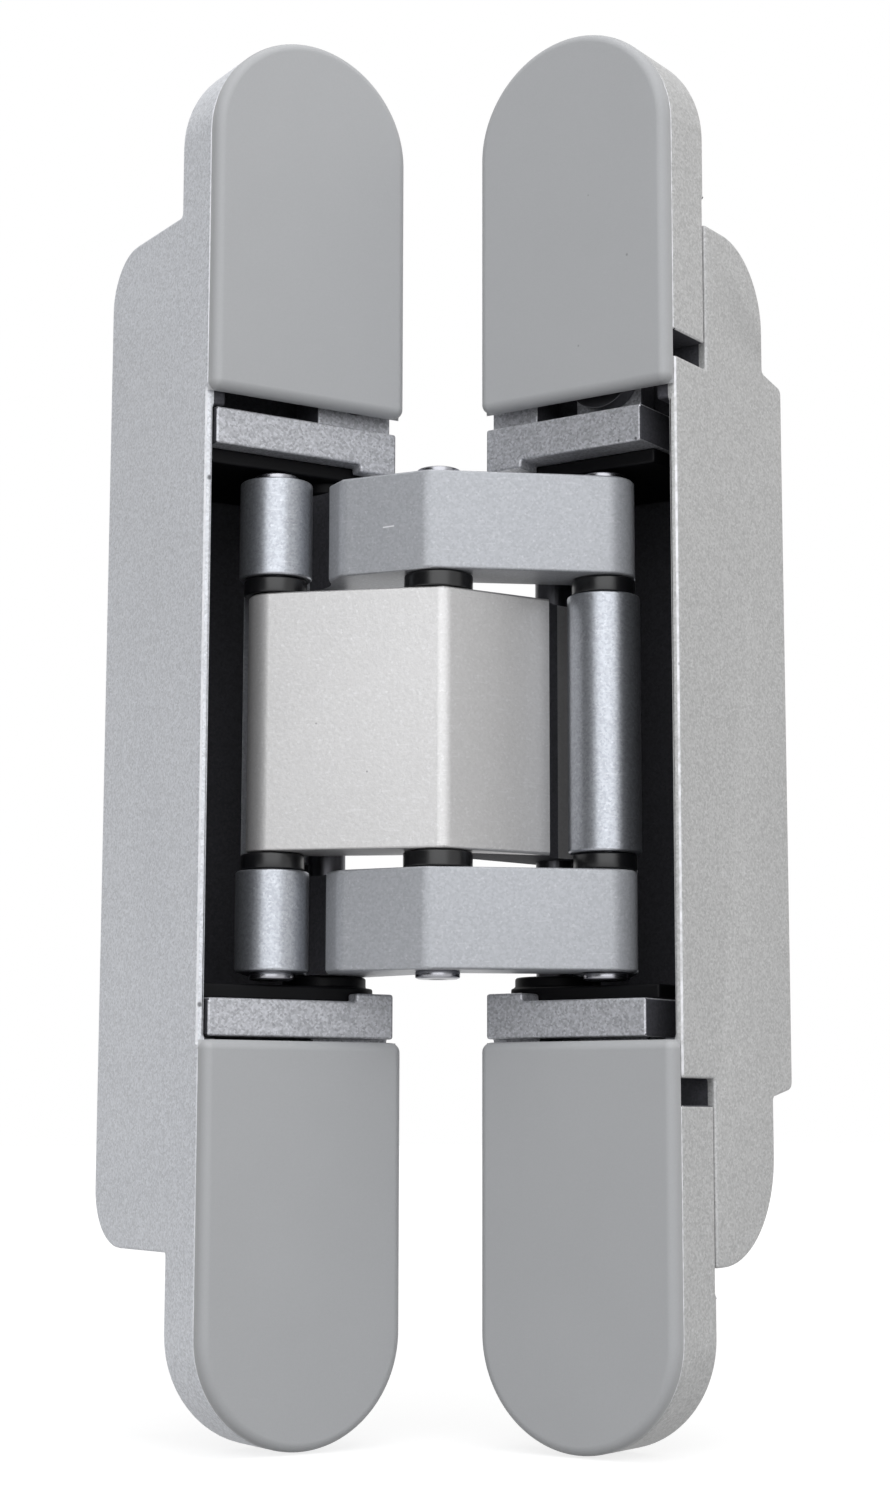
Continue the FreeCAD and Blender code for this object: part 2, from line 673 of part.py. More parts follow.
def arm(end_point, end_radius, foot, ridge, wing, z_low, z_high):
    """Bent arm with a knuckle at its end, its middle and its foot, and a ridge along its face."""
    turn = 1 if (end_point - CENTRE).cross(foot - CENTRE).z > 0 else -1
    end_touch = tangent_point(ridge, end_point, end_radius, -turn)
    foot_touch = tangent_point(wing, foot, FOOT_RADIUS, turn)
    face = prism([ridge, end_touch, end_point, CENTRE, foot, foot_touch, wing], z_low, z_high)
    to_end = bar(CENTRE, CENTRE_RADIUS, end_point, end_radius, z_low, z_high)
    to_foot = bar(CENTRE, CENTRE_RADIUS, foot, FOOT_RADIUS, z_low, z_high)
    shape = face.fuse([to_end, to_foot]).removeSplitter()
    shape = shape.makeFillet(WING_ROUND, upright_edges_at(shape, wing))
    shape = shape.makeFillet(RIDGE_ROUND, upright_edges_at(shape, ridge))
    rims = edges_on_level(shape, 2, z_low) + edges_on_level(shape, 2, z_high)
    return shape.makeChamfer(ARM_EDGE_BREAK, rims)


def turned(offset, angle):
    """Turn a direction about the upright axis by an angle in degrees."""
    return FreeCAD.Rotation(Vector(0, 0, 1), angle).multVec(offset)


def barrel_creep():
    """How far a link's barrel creeps towards the other arm from rest until flat open."""
    swing = FLAT_OPENING - REST_OPENING
    centre = ARM_FOOT + turned(CENTRE - ARM_FOOT, ARM_SHARE * swing)
    barrel = LINK_FOOT + turned(LINK_END - LINK_FOOT, LINK_SHARE * swing)
    return CENTRE + turned(barrel - centre, -ARM_SHARE * swing) - LINK_END


def link_relief(link_end, creep, z_low, z_high):
    """Room in an arm for the barrel of the other link as the hinge opens."""
    radius = BARREL_RADIUS + RUN_GAP
    return bar(link_end, radius, link_end + creep, radius, z_low - 1, z_high + 1)


def arm_holes(end_point, foot, end_radius, z_low, z_high):
    """Holes for the pins of an arm."""
    fit = PIN_RADIUS + PIN_FIT
    return [
        post(CENTRE, fit, z_low - 1, z_high + 1),
        post(foot, fit, z_low - 1, z_high + 1),
        post(end_point, end_radius, z_low - 1, z_high + 1),
    ]


def outer_leaf(end):
    """Leaf of the outer arm, from the frame side's arm pin to the door side's link."""
    low, high = sorted((end * LEAF_FOOT, end * LINKAGE_HALF))
    end_point = door_point(ARM_END + DOOR_SHIFT)
    ridge = CENTRE + Vector(OUTER_RIDGE_X, OUTER_RIDGE_Y, 0)
    wing = Vector(OUTER_WING_X, OUTER_WING_Y, 0)
    shape = arm(end_point, LEAF_END_RADIUS, ARM_FOOT, ridge, wing, low, high)
    tools = arm_holes(end_point, ARM_FOOT, PIN_WAIST + OPEN_PIVOT_PLAY, low, high)
    tools.append(link_relief(LINK_END, barrel_creep(), low, high))
    return shape.cut(tools)


def middle_arm():
    """Middle arm, from the door side's arm pin to the frame side's link."""
    foot = door_point(ARM_FOOT + DOOR_SHIFT)
    ridge = CENTRE + Vector(MIDDLE_RIDGE_X, MIDDLE_RIDGE_Y, 0)
    wing = door_point(Vector(MIDDLE_WING_X, MIDDLE_WING_Y, 0))
    shape = arm(ARM_END, MIDDLE_END_RADIUS, foot, ridge, wing, -MIDDLE_HALF, MIDDLE_HALF)
    tools = arm_holes(ARM_END, foot, PIN_WAIST + OPEN_PIVOT_PLAY, -MIDDLE_HALF, MIDDLE_HALF)
    link_end = door_point(LINK_END + DOOR_SHIFT)
    creep = door_direction(barrel_creep())
    tools.append(link_relief(link_end, creep, -MIDDLE_HALF, MIDDLE_HALF))
    return shape.cut(tools)


def link(end_levels, foot_levels, cut_levels, arm_radius, shift):
    """Link between a body and the end of an arm: barrels at both pins and a straight web.

    The levels are pairs of heights for the barrels at its two pins, and for the cut in the web
    round the end of the arm, whose radius is arm_radius.
    """
    foot = LINK_FOOT + shift
    end_point = LINK_END + shift
    along = (end_point - foot).normalize()
    side = Vector(along.y, -along.x, 0)
    near = WEB_OFFSET
    far = WEB_OFFSET + WEB_THICKNESS
    start = foot - along * WEB_START
    end_touch = tangent_point(foot + side * far, end_point, BARREL_RADIUS, -1)
    corners = [
        start + side * near,
        start + side * far,
        foot + side * far,
        end_touch,
        end_point,
        end_point + side * near - along * BARREL_RADIUS / 2,
    ]
    shape = prism(corners, -LINKAGE_HALF, LINKAGE_HALF)
    cut_radius = arm_radius + OPEN_PIVOT_PLAY + RUN_GAP
    shape = shape.cut([post(end_point, cut_radius, low, high) for low, high in cut_levels])
    barrels = [post(end_point, BARREL_RADIUS, low, high) for low, high in end_levels]
    barrels += [post(foot, FOOT_RADIUS, low, high) for low, high in foot_levels]
    shape = shape.fuse(barrels).removeSplitter()
    holes = [
        post(point, PIN_RADIUS + PIN_FIT, -SHELF_OUTER, SHELF_OUTER) for point in (foot, end_point)
    ]
    return shape.cut(holes)


def middle_level(gap):
    """Heights of the middle arm, widened by a gap."""
    return [(-MIDDLE_HALF - gap, MIDDLE_HALF + gap)]


def leaf_levels(gap):
    """Heights of the two leaves, widened by a gap towards the middle and beyond their tops."""
    return [
        (LEAF_FOOT - gap, LINKAGE_HALF + gap),
        (-LINKAGE_HALF - gap, -LEAF_FOOT + gap),
    ]


def frame_link():
    """Frame-side link: barrels above and below the middle arm's end."""
    cuts = middle_level(LEVEL_GAP)
    return link(leaf_levels(0), middle_level(0), cuts, MIDDLE_END_RADIUS, NO_SHIFT)


def door_link():
    """Door-side link: one long barrel between the ends of the two leaves."""
    cuts = leaf_levels(LEVEL_GAP)
    return link(middle_level(0), leaf_levels(0), cuts, LEAF_END_RADIUS, DOOR_SHIFT)


def foot_pin(point):
    """Plain pin held at both ends in a carriage."""
    reach = SHELF_INNER + PIN_SEAT
    return post(point, PIN_RADIUS, -reach, reach)


def headed_pin(point, waist_levels):
    """Pin with a low head at both ends and a thinner stretch at each waist level."""
    pin = post(point, PIN_RADIUS, -LINKAGE_HALF, LINKAGE_HALF)
    for end in BOTH_ENDS.values():
        low, high = sorted((end * LINKAGE_HALF, end * (LINKAGE_HALF + PIN_HEAD)))
        head = post(point, PIN_HEAD_RADIUS, low, high)
        head = head.makeChamfer(PIN_HEAD / 2, edges_on_level(head, 2, end * (LINKAGE_HALF + PIN_HEAD)))
        pin = pin.fuse(head)
    for low, high in waist_levels:
        sleeve = post(point, PIN_RADIUS + 1, low, high).cut(post(point, PIN_WAIST, low, high))
        pin = pin.cut(sleeve)
    return pin.removeSplitter()


def washer(end, point):
    """Washer on a pin, between the middle level and a leaf."""
    low, high = sorted((end * (MIDDLE_HALF + WASHER_GAP), end * (LEAF_FOOT - WASHER_GAP)))
    ring = post(point, WASHER_RADIUS, low, high)
    return ring.cut(post(point, PIN_RADIUS + PIN_FIT, low, high))


def build_nodes():
    """Every piece of the hinge by its name, in its place at rest."""
    nodes = {
        "frame_body": frame_body(),
        "frame_carriage": frame_carriage(),
        "frame_link": frame_link(),
        "frame_arm_pin": foot_pin(ARM_FOOT),
        "frame_link_foot_pin": foot_pin(LINK_FOOT),
        "frame_link_end_pin": headed_pin(LINK_END, middle_level(0)),
        "middle_arm": middle_arm(),
        "centre_pin": headed_pin(CENTRE, []),
        "door_body": to_door(door_body()),
        "door_carriage": to_door(door_carriage()),
        "door_link": to_door(door_link()),
        "door_arm_pin": to_door(foot_pin(ARM_FOOT + DOOR_SHIFT)),
        "door_link_foot_pin": to_door(foot_pin(LINK_FOOT + DOOR_SHIFT)),
        "door_link_end_pin": to_door(headed_pin(LINK_END + DOOR_SHIFT, leaf_levels(0))),
    }
    for name, end in BOTH_ENDS.items():
        nodes["outer_leaf_" + name] = outer_leaf(end)
        nodes["frame_cap_" + name] = cap(end)
        nodes["frame_bearing_" + name] = bearing_plate(
            end, FRAME_CARRIAGE_OUTER, FRAME_CARRIAGE_INNER, NO_SHIFT
        )
        nodes["depth_screw_" + name] = depth_screw(end)
        nodes["frame_link_washer_" + name] = washer(end, LINK_END)
        nodes["centre_washer_" + name] = washer(end, CENTRE)
        nodes["door_link_washer_" + name] = to_door(washer(end, LINK_END + DOOR_SHIFT))
        nodes["door_cap_" + name] = to_door(cap(end))
        nodes["door_plate_" + name] = to_door(door_plate(end))
        nodes["door_bearing_" + name] = to_door(
            bearing_plate(end, DOOR_CARRIAGE_OUTER, DOOR_CARRIAGE_INNER, DOOR_SHIFT)
        )
        nodes["side_cam_" + name] = to_door(side_cam(end))
        nodes["clamp_screw_" + name] = to_door(clamp_screw(end))
    return nodes


NODES = build_nodes()
os.makedirs("parts", exist_ok=True)
for node_name, node_shape in NODES.items():
    node_shape.exportStep("parts/" + node_name + ".step")
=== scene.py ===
"""Dresses the part-open concealed hinge: cast bodies, crossed arms, pivots, cover caps and adjusters."""
import json
import logging
import math
from contextlib import AbstractContextManager, contextmanager
from dataclasses import dataclass, field
from enum import Enum
from typing import Callable, Iterator, Sequence

import bmesh
import bpy
from mathutils import Matrix, Vector


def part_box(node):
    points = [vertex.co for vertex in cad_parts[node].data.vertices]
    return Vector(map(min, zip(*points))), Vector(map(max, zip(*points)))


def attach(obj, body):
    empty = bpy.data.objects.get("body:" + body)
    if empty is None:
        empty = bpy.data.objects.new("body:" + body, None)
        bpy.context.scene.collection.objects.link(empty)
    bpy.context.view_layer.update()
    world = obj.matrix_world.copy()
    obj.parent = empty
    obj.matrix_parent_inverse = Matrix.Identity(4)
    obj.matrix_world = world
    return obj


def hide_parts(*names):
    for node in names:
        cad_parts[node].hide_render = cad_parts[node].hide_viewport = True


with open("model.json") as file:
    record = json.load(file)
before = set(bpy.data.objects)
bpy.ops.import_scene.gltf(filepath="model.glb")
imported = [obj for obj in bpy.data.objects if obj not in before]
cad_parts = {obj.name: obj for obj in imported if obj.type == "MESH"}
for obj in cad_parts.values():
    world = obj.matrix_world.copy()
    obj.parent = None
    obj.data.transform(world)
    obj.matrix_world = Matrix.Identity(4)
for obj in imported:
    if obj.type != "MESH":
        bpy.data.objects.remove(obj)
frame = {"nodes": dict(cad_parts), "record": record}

LOG = logging.getLogger("hinge")
MM = 0.001
HAIR = 0.001 * MM
SLACK = 0.01 * MM
FACING = 0.9
HINGE_HALF = 80.0 * MM
BODY_OF: dict[str, str] = {
    node: body for body, nodes in frame["record"]["behaviour"]["bodies"].items() for node in nodes
}

Colour = tuple[float, float, float, float]
Point = tuple[float, float, float]
Tree = bpy.types.NodeTree
Node = bpy.types.Node
Socket = bpy.types.NodeSocket
Outputs = bpy.types.NodeOutputs
Material = bpy.types.Material
Piece = bpy.types.Object
OpenMesh = bmesh.types.BMesh
Vert, Edge, Face = bmesh.types.BMVert, bmesh.types.BMEdge, bmesh.types.BMFace
PlaceTest = Callable[[Vector, Vector], bool]


def shade(red: float, green: float, blue: float) -> Colour:
    """Turns a colour as it shows on screen into the linear values of the shader.

    Args:
        red: Red as shown, 0 to 255.
        green: Green as shown.
        blue: Blue as shown.

    Returns:
        The linear colour with full alpha.
    """
    def linear(value: float) -> float:
        """One channel made linear."""
        part = value / 255
        return part / 12.92 if part <= 0.04045 else ((part + 0.055) / 1.055) ** 2.4

    return (linear(red), linear(green), linear(blue), 1.0)


def pin_axis(node: str) -> Point:
    """Gives a point on the axis of a pin."""
    low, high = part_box(node)
    return ((low[0] + high[0]) / 2, (low[1] + high[1]) / 2, 0.0)


WHITE: Colour = (1.0, 1.0, 1.0, 1.0)
PIT_COLOUR = shade(48, 48, 52)
# Light colour for wear, and for painted glints and painted edge highlights.
WEAR_AND_HIGHLIGHT_COLOUR = shade(240, 240, 244)


class End(Enum):
    """The two ends of the hinge, as the sign of their height."""

    UPPER = 1
    LOWER = -1

    @property
    def word(self) -> str:
        """Lower-case word used in the names of pieces."""
        return self.name.lower()


# ---------------------------------------------------------------- shader groups

class Wiring:
    """A node tree with short calls for adding and joining nodes."""

    def __init__(self, tree: Tree) -> None:
        """Keeps the tree that the nodes go into."""
        self.tree = tree

    def add(
        self, kind: str, inputs: dict[str | int, object] | None = None, **settings: object
    ) -> Node:
        """Adds a node.

        Args:
            kind: Blender's name of the node type.
            inputs: What goes into its inputs, by name or place.
            **settings: Attributes of the node, set by name.

        Returns:
            The new node.
        """
        node = self.tree.nodes.new(kind)
        for key, value in settings.items():
            setattr(node, key, value)
        for socket, source in (inputs or {}).items():
            self.feed(node, socket, source)
        return node

    def feed(self, node: Node, socket: str | int, source: object) -> None:
        """Sets an input from a value, or joins it to another node's output.

        Args:
            node: The node that receives.
            socket: Name or place of its input.
            source: A plain value, or an output socket.
        """
        target = node.inputs[socket]
        if isinstance(source, Socket):
            self.tree.links.new(source, target)
        else:
            target.default_value = source

    def group(self, tree: Tree, place: Socket, **values: object) -> Outputs:
        """Places a shared group and returns its outputs, with its other inputs given by name."""
        return self.add("ShaderNodeGroup", {"Vector": place, **values}, node_tree=tree).outputs

    def maths(self, operation: str, first: object, second: object = 0.0, clamp: bool = False) -> Socket:
        """Adds a Math node and returns its output."""
        node = self.add("ShaderNodeMath", {0: first, 1: second}, operation=operation, use_clamp=clamp)
        return node.outputs[0]

    def vector(self, operation: str, first: object, second: object = (0.0, 0.0, 0.0)) -> Outputs:
        """Adds a Vector Math node and returns its outputs."""
        return self.add("ShaderNodeVectorMath", {0: first, 1: second}, operation=operation).outputs

    def ramp(
        self, value: object, low: object, high: object, to_low: float = 0.0, to_high: float = 1.0
    ) -> Socket:
        """Maps a range of values onto another, clamped, and returns the output."""
        return self.add("ShaderNodeMapRange", {
            "Value": value, "From Min": low, "From Max": high, "To Min": to_low, "To Max": to_high,
        }).outputs["Result"]

    def noise(self, place: object, scale: object, detail: float, roughness: float = 0.5) -> Socket:
        """Adds a Noise texture and returns its value."""
        return self.add("ShaderNodeTexNoise", {
            "Vector": place, "Scale": scale, "Detail": detail, "Roughness": roughness,
        }).outputs["Fac"]

    def blend(self, factor: object, first: object, second: object, mode: str = "MIX") -> Socket:
        """Mixes two colours and returns the output."""
        node = self.add("ShaderNodeMix", {0: factor}, data_type="RGBA", blend_type=mode)
        self.feed(node, 6, first)
        self.feed(node, 7, second)
        return node.outputs[2]

    def lay(self, base: Socket, mask: Socket, amount: float, colour: Colour) -> Socket:
        """Lays a colour over another where a mask says, at most as strong as the amount."""
        return self.blend(self.maths("MULTIPLY", mask, amount), base, colour)

    def tone(self, value: Socket, amount: Socket) -> Socket:
        """Turns a value round a half into a tone round one, as far as an amount says."""
        swing = self.maths("MULTIPLY", self.maths("SUBTRACT", value, 0.5), amount)
        return self.maths("ADD", self.maths("MULTIPLY", swing, 2.0), 1.0)

    def tint(self, colour: Colour, tone: Socket) -> Socket:
        """Multiplies a colour by a tone that changes over the surface."""
        grey = self.add("ShaderNodeCombineColor", {0: tone, 1: tone, 2: tone})
        return self.blend(1.0, colour, grey.outputs[0], "MULTIPLY")

    def bump(self, shader: Node, height: Socket, strength: float, distance: float) -> None:
        """Raises the surface of a shader by a height."""
        node = self.add("ShaderNodeBump", {"Strength": strength, "Distance": distance, "Height": height})
        self.feed(shader, "Normal", node.outputs[0])


class Effects:
    """Shader groups that several finishes share, each built once."""

    pebble_share = 0.55
    glint_range = (0.86, 1.0)
    turn_range = (0.97, 0.86)
    break_range = (0.35, 0.6)
    break_masks = (0.35, 1.0)
    scuff_fade = 0.06
    mark_core = 0.4

    def __init__(self) -> None:
        """Builds every group."""
        self.flakes = self._flakes()
        self.clouds = self._clouds()
        self.edges = self._edges()
        self.scuffs = self._scuffs()
        self.mark = self._mark()
        self.rings = self._rings()

    @staticmethod
    def _group(name: str, outputs: Sequence[str], **inputs: float | Point) -> tuple[Wiring, Outputs, Node]:
        """Starts a group with its sockets.

        Args:
            name: Name of the group.
            outputs: Names of its outputs, all single values.
            **inputs: Defaults of its inputs by name, besides the coordinates.

        Returns:
            The group's wiring, what comes into it, and the node that ends it.
        """
        tree = bpy.data.node_groups.new(name, "ShaderNodeTree")
        for title, default in {"Vector": (0.0, 0.0, 0.0), **inputs}.items():
            kind = "NodeSocketVector" if isinstance(default, tuple) else "NodeSocketFloat"
            tree.interface.new_socket(title, in_out="INPUT", socket_type=kind).default_value = default
        for title in outputs:
            tree.interface.new_socket(title, in_out="OUTPUT", socket_type="NodeSocketFloat")
        wiring = Wiring(tree)
        return wiring, wiring.add("NodeGroupInput").outputs, wiring.add("NodeGroupOutput")

    def _flakes(self) -> Tree:
        """Fine metal flakes of a satin coat: light and dark specks, the brightest flakes as a mask for
        painted glints, and a slight pebble.
        """
        wiring, given, end = self._group("flake_grain", ("Tone", "Glint", "Height"), Size=4000.0, Depth=0.1)
        place, size = given["Vector"], given["Size"]
        cells = wiring.add("ShaderNodeTexVoronoi", {"Vector": place, "Scale": size}, feature="F1")
        flake = wiring.add("ShaderNodeSeparateColor", {0: cells.outputs["Color"]}).outputs
        coarse = wiring.maths("MULTIPLY", size, self.pebble_share)
        pebble = wiring.noise(place, coarse, detail=3.0, roughness=0.6)
        halves = [wiring.maths("MULTIPLY", source, 0.5) for source in (flake[0], pebble)]
        wiring.feed(end, "Tone", wiring.tone(wiring.maths("ADD", *halves), given["Depth"]))
        wiring.feed(end, "Glint", wiring.ramp(flake[1], *self.glint_range))
        wiring.feed(end, "Height", pebble)
        return wiring.tree

    def _clouds(self) -> Tree:
        """Broad, faint changes of tone over a surface."""
        wiring, given, end = self._group("cloudy_tone", ("Tone",), Size=40.0, Amount=0.05)
        noise = wiring.noise(given["Vector"], given["Size"], detail=4.0)
        wiring.feed(end, "Tone", wiring.tone(noise, given["Amount"]))
        return wiring.tree

    def _edges(self) -> Tree:
        """Edges where the surface turns sharply, broken up by noise: a mask for edge wear and painted edge
        highlights.
        """
        wiring, given, end = self._group("edge_wear", ("Mask",), Width=0.3 * MM, Breaks=900.0)
        rounded = wiring.add("ShaderNodeBevel", {"Radius": given["Width"]}, samples=4).outputs["Normal"]
        surface = wiring.add("ShaderNodeNewGeometry").outputs["Normal"]
        match = wiring.vector("DOT_PRODUCT", rounded, surface)["Value"]
        turn = wiring.ramp(match, *self.turn_range)
        noise = wiring.noise(given["Vector"], given["Breaks"], detail=2.0)
        broken = wiring.ramp(noise, *self.break_range, *self.break_masks)
        wiring.feed(end, "Mask", wiring.maths("MULTIPLY", turn, broken))
        return wiring.tree

    def _scuffs(self) -> Tree:
        """Sparse hair-thin scuffs that run along one direction."""
        wiring, given, end = self._group(
            "fine_scuffs", ("Mask",), Stretch=(400.0, 400.0, 4000.0), Rarity=0.66
        )
        along = wiring.vector("MULTIPLY", given["Vector"], given["Stretch"])[0]
        top = wiring.maths("ADD", given["Rarity"], self.scuff_fade)
        noise = wiring.noise(along, 1.0, detail=1.0)
        wiring.feed(end, "Mask", wiring.ramp(noise, given["Rarity"], top))
        return wiring.tree

    def _mark(self) -> Tree:
        """One scratch or nick between two points."""
        wiring, given, end = self._group(
            "single_mark", ("Mask",), Start=(0.0, 0.0, 0.0), End=(0.0, 0.0, MM), Width=0.1 * MM
        )
        run = wiring.vector("SUBTRACT", given["End"], given["Start"])[0]
        reach = wiring.vector("SUBTRACT", given["Vector"], given["Start"])[0]
        ahead = wiring.vector("DOT_PRODUCT", reach, run)["Value"]
        square = wiring.vector("DOT_PRODUCT", run, run)["Value"]
        share = wiring.maths("DIVIDE", ahead, square, clamp=True)
        scaled = wiring.add("ShaderNodeVectorMath", {0: run, "Scale": share}, operation="SCALE").outputs[0]
        gap = wiring.vector("DISTANCE", reach, scaled)["Value"]
        core = wiring.maths("MULTIPLY", given["Width"], self.mark_core)
        wiring.feed(end, "Mask", wiring.ramp(gap, given["Width"], core))
        return wiring.tree

    def _rings(self) -> Tree:
        """Fine turning marks round an upright axis through a point."""
        wiring, given, end = self._group("turning_rings", ("Height",), Axis=(0.0, 0.0, 0.0), Pitch=0.1 * MM)
        offset = wiring.vector("SUBTRACT", given["Vector"], given["Axis"])[0]
        flat = wiring.vector("MULTIPLY", offset, (1.0, 1.0, 0.0))[0]
        turns = wiring.maths("DIVIDE", wiring.vector("LENGTH", flat)["Value"], given["Pitch"])
        wave = wiring.maths("SINE", wiring.maths("MULTIPLY", turns, math.tau))
        wiring.feed(end, "Height", wiring.maths("ADD", wiring.maths("MULTIPLY", wave, 0.5), 0.5))
        return wiring.tree


# --------------------------------------------------------------------- finishes

@dataclass(frozen=True)
class Mark:
    """A scratch, nick or pit between two points in metres; a strength below 0 makes it dark."""

    start: Point
    end: Point
    width: float
    strength: float

    @classmethod
    def pit(cls, x: float, y: float, z: float, width: float, strength: float) -> "Mark":
        """A small round pit or speck at a point, given in millimetres."""
        return cls((x * MM, y * MM, z * MM), (x * MM, y * MM, (z + 0.05) * MM), width * MM, strength)


class Finish:
    """What every finish shares: a new material with its coordinates and its shader."""

    name: str

    def begin(self) -> tuple[Material, Wiring, Node, Socket]:
        """Starts the material.

        Returns:
            The material, its wiring, its Principled shader and the object coordinates.
        """
        material = bpy.data.materials.new(self.name)
        material.use_nodes = True
        material.node_tree.nodes.clear()
        wiring = Wiring(material.node_tree)
        place = wiring.add("ShaderNodeTexCoord").outputs["Object"]
        shader = wiring.add("ShaderNodeBsdfPrincipled")
        wiring.add("ShaderNodeOutputMaterial", {"Surface": shader.outputs["BSDF"]})
        return material, wiring, shader, place


@dataclass(frozen=True)
class LayeredFinish(Finish):
    """A surface of fine grain, painted glints, clouds, edges lightened by wear and painted highlight, scuffs
    and single marks; lengths are in metres.
    """

    name: str
    colour: Colour
    roughness: float
    metallic: float = 0.0
    specular: float = 0.5
    worn: Colour = WEAR_AND_HIGHLIGHT_COLOUR
    edge_amount: float = 0.45
    edge_width: float = 0.35 * MM
    edge_breaks: float = 700.0
    edge_shine: float = -0.08
    grain_size: float = 4200.0
    grain_depth: float = 0.3
    glint: float = 0.12
    glint_shine: float = -0.03
    cloud_size: float = 55.0
    cloud_amount: float = 0.05
    scuff_rarity: float = 0.68
    scuff_amount: float = 0.10
    scuff_shine: float = 0.0
    pebble: float = 0.35
    pebble_height: float = 0.05 * MM
    marks: tuple[Mark, ...] = ()

    def build(self, effects: Effects) -> Material:
        """Builds the material.

        Args:
            effects: The shared shader groups.

        Returns:
            The finished material.
        """
        material, wiring, shader, place = self.begin()
        grain = wiring.group(effects.flakes, place, Size=self.grain_size, Depth=self.grain_depth)
        clouds = wiring.group(effects.clouds, place, Size=self.cloud_size, Amount=self.cloud_amount)
        edges = wiring.group(effects.edges, place, Width=self.edge_width, Breaks=self.edge_breaks)
        scuffs = wiring.group(effects.scuffs, place, Rarity=self.scuff_rarity)
        coat = wiring.tint(self.colour, wiring.maths("MULTIPLY", grain["Tone"], clouds["Tone"]))
        rough: Socket | float = self.roughness
        # Painted highlight and wear: glints of the brightest flakes are painted highlights, sharp edges carry
        # wear and a painted highlight, scuffs are wear, all in one light colour.
        for mask, amount, shine in (
            (grain["Glint"], self.glint, self.glint_shine),
            (edges["Mask"], self.edge_amount, self.edge_shine),
            (scuffs["Mask"], self.scuff_amount, self.scuff_shine),
        ):
            if amount:
                coat = wiring.lay(coat, mask, amount, self.worn)
            if shine:
                rough = wiring.maths("ADD", rough, wiring.maths("MULTIPLY", mask, shine))
        for mark in self.marks:
            spot = wiring.group(effects.mark, place, Start=mark.start, End=mark.end, Width=mark.width)
            colour = self.worn if mark.strength > 0 else PIT_COLOUR
            coat = wiring.lay(coat, spot["Mask"], abs(mark.strength), colour)
        wiring.feed(shader, "Base Color", coat)
        wiring.feed(shader, "Roughness", rough)
        shader.inputs["Metallic"].default_value = self.metallic
        shader.inputs["Specular IOR Level"].default_value = self.specular
        wiring.bump(shader, grain["Height"], self.pebble, self.pebble_height)
        return material


@dataclass(frozen=True)
class SatinCoat(LayeredFinish):
    """Satin silver coat with metal flakes over a casting, as the layers' own values give it."""


@dataclass(frozen=True)
class MouldedPlastic(LayeredFinish):
    """Matt moulded plastic, with a finer texture and no flakes."""

    specular: float = 0.4
    edge_amount: float = 0.3
    edge_width: float = 0.6 * MM
    edge_breaks: float = 300.0
    edge_shine: float = 0.0
    grain_size: float = 9000.0
    grain_depth: float = 0.03
    glint: float = 0.0
    glint_shine: float = 0.0
    cloud_size: float = 70.0
    cloud_amount: float = 0.035
    scuff_rarity: float = 0.7
    scuff_amount: float = 0.06
    scuff_shine: float = 0.08
    pebble_height: float = 0.03 * MM


@dataclass(frozen=True)
class TurnedSteel(Finish):
    """Bright turned steel with rings round an upright axis; lengths are in metres."""

    name: str
    colour: Colour
    roughness: float
    axis: Point = (0.0, 0.0, 0.0)
    pitch: float = 0.4 * MM
    cloud_size: float = 900.0
    cloud_amount: float = 0.14
    ring_dullness: float = 0.07
    ring_strength: float = 0.25
    ring_height: float = 0.02 * MM

    def build(self, effects: Effects) -> Material:
        """Builds the material.

        Args:
            effects: The shared shader groups.

        Returns:
            The finished material.
        """
        material, wiring, shader, place = self.begin()
        rings = wiring.group(effects.rings, place, Axis=self.axis, Pitch=self.pitch)["Height"]
        clouds = wiring.group(effects.clouds, place, Size=self.cloud_size, Amount=self.cloud_amount)
        wiring.feed(shader, "Base Color", wiring.tint(self.colour, clouds["Tone"]))
        shader.inputs["Metallic"].default_value = 1.0
        dull = wiring.maths("MULTIPLY", rings, self.ring_dullness)
        wiring.feed(shader, "Roughness", wiring.maths("ADD", self.roughness, dull))
        wiring.bump(shader, rings, self.ring_strength, self.ring_height)
        return material


# ------------------------------------------------------------------- the bench

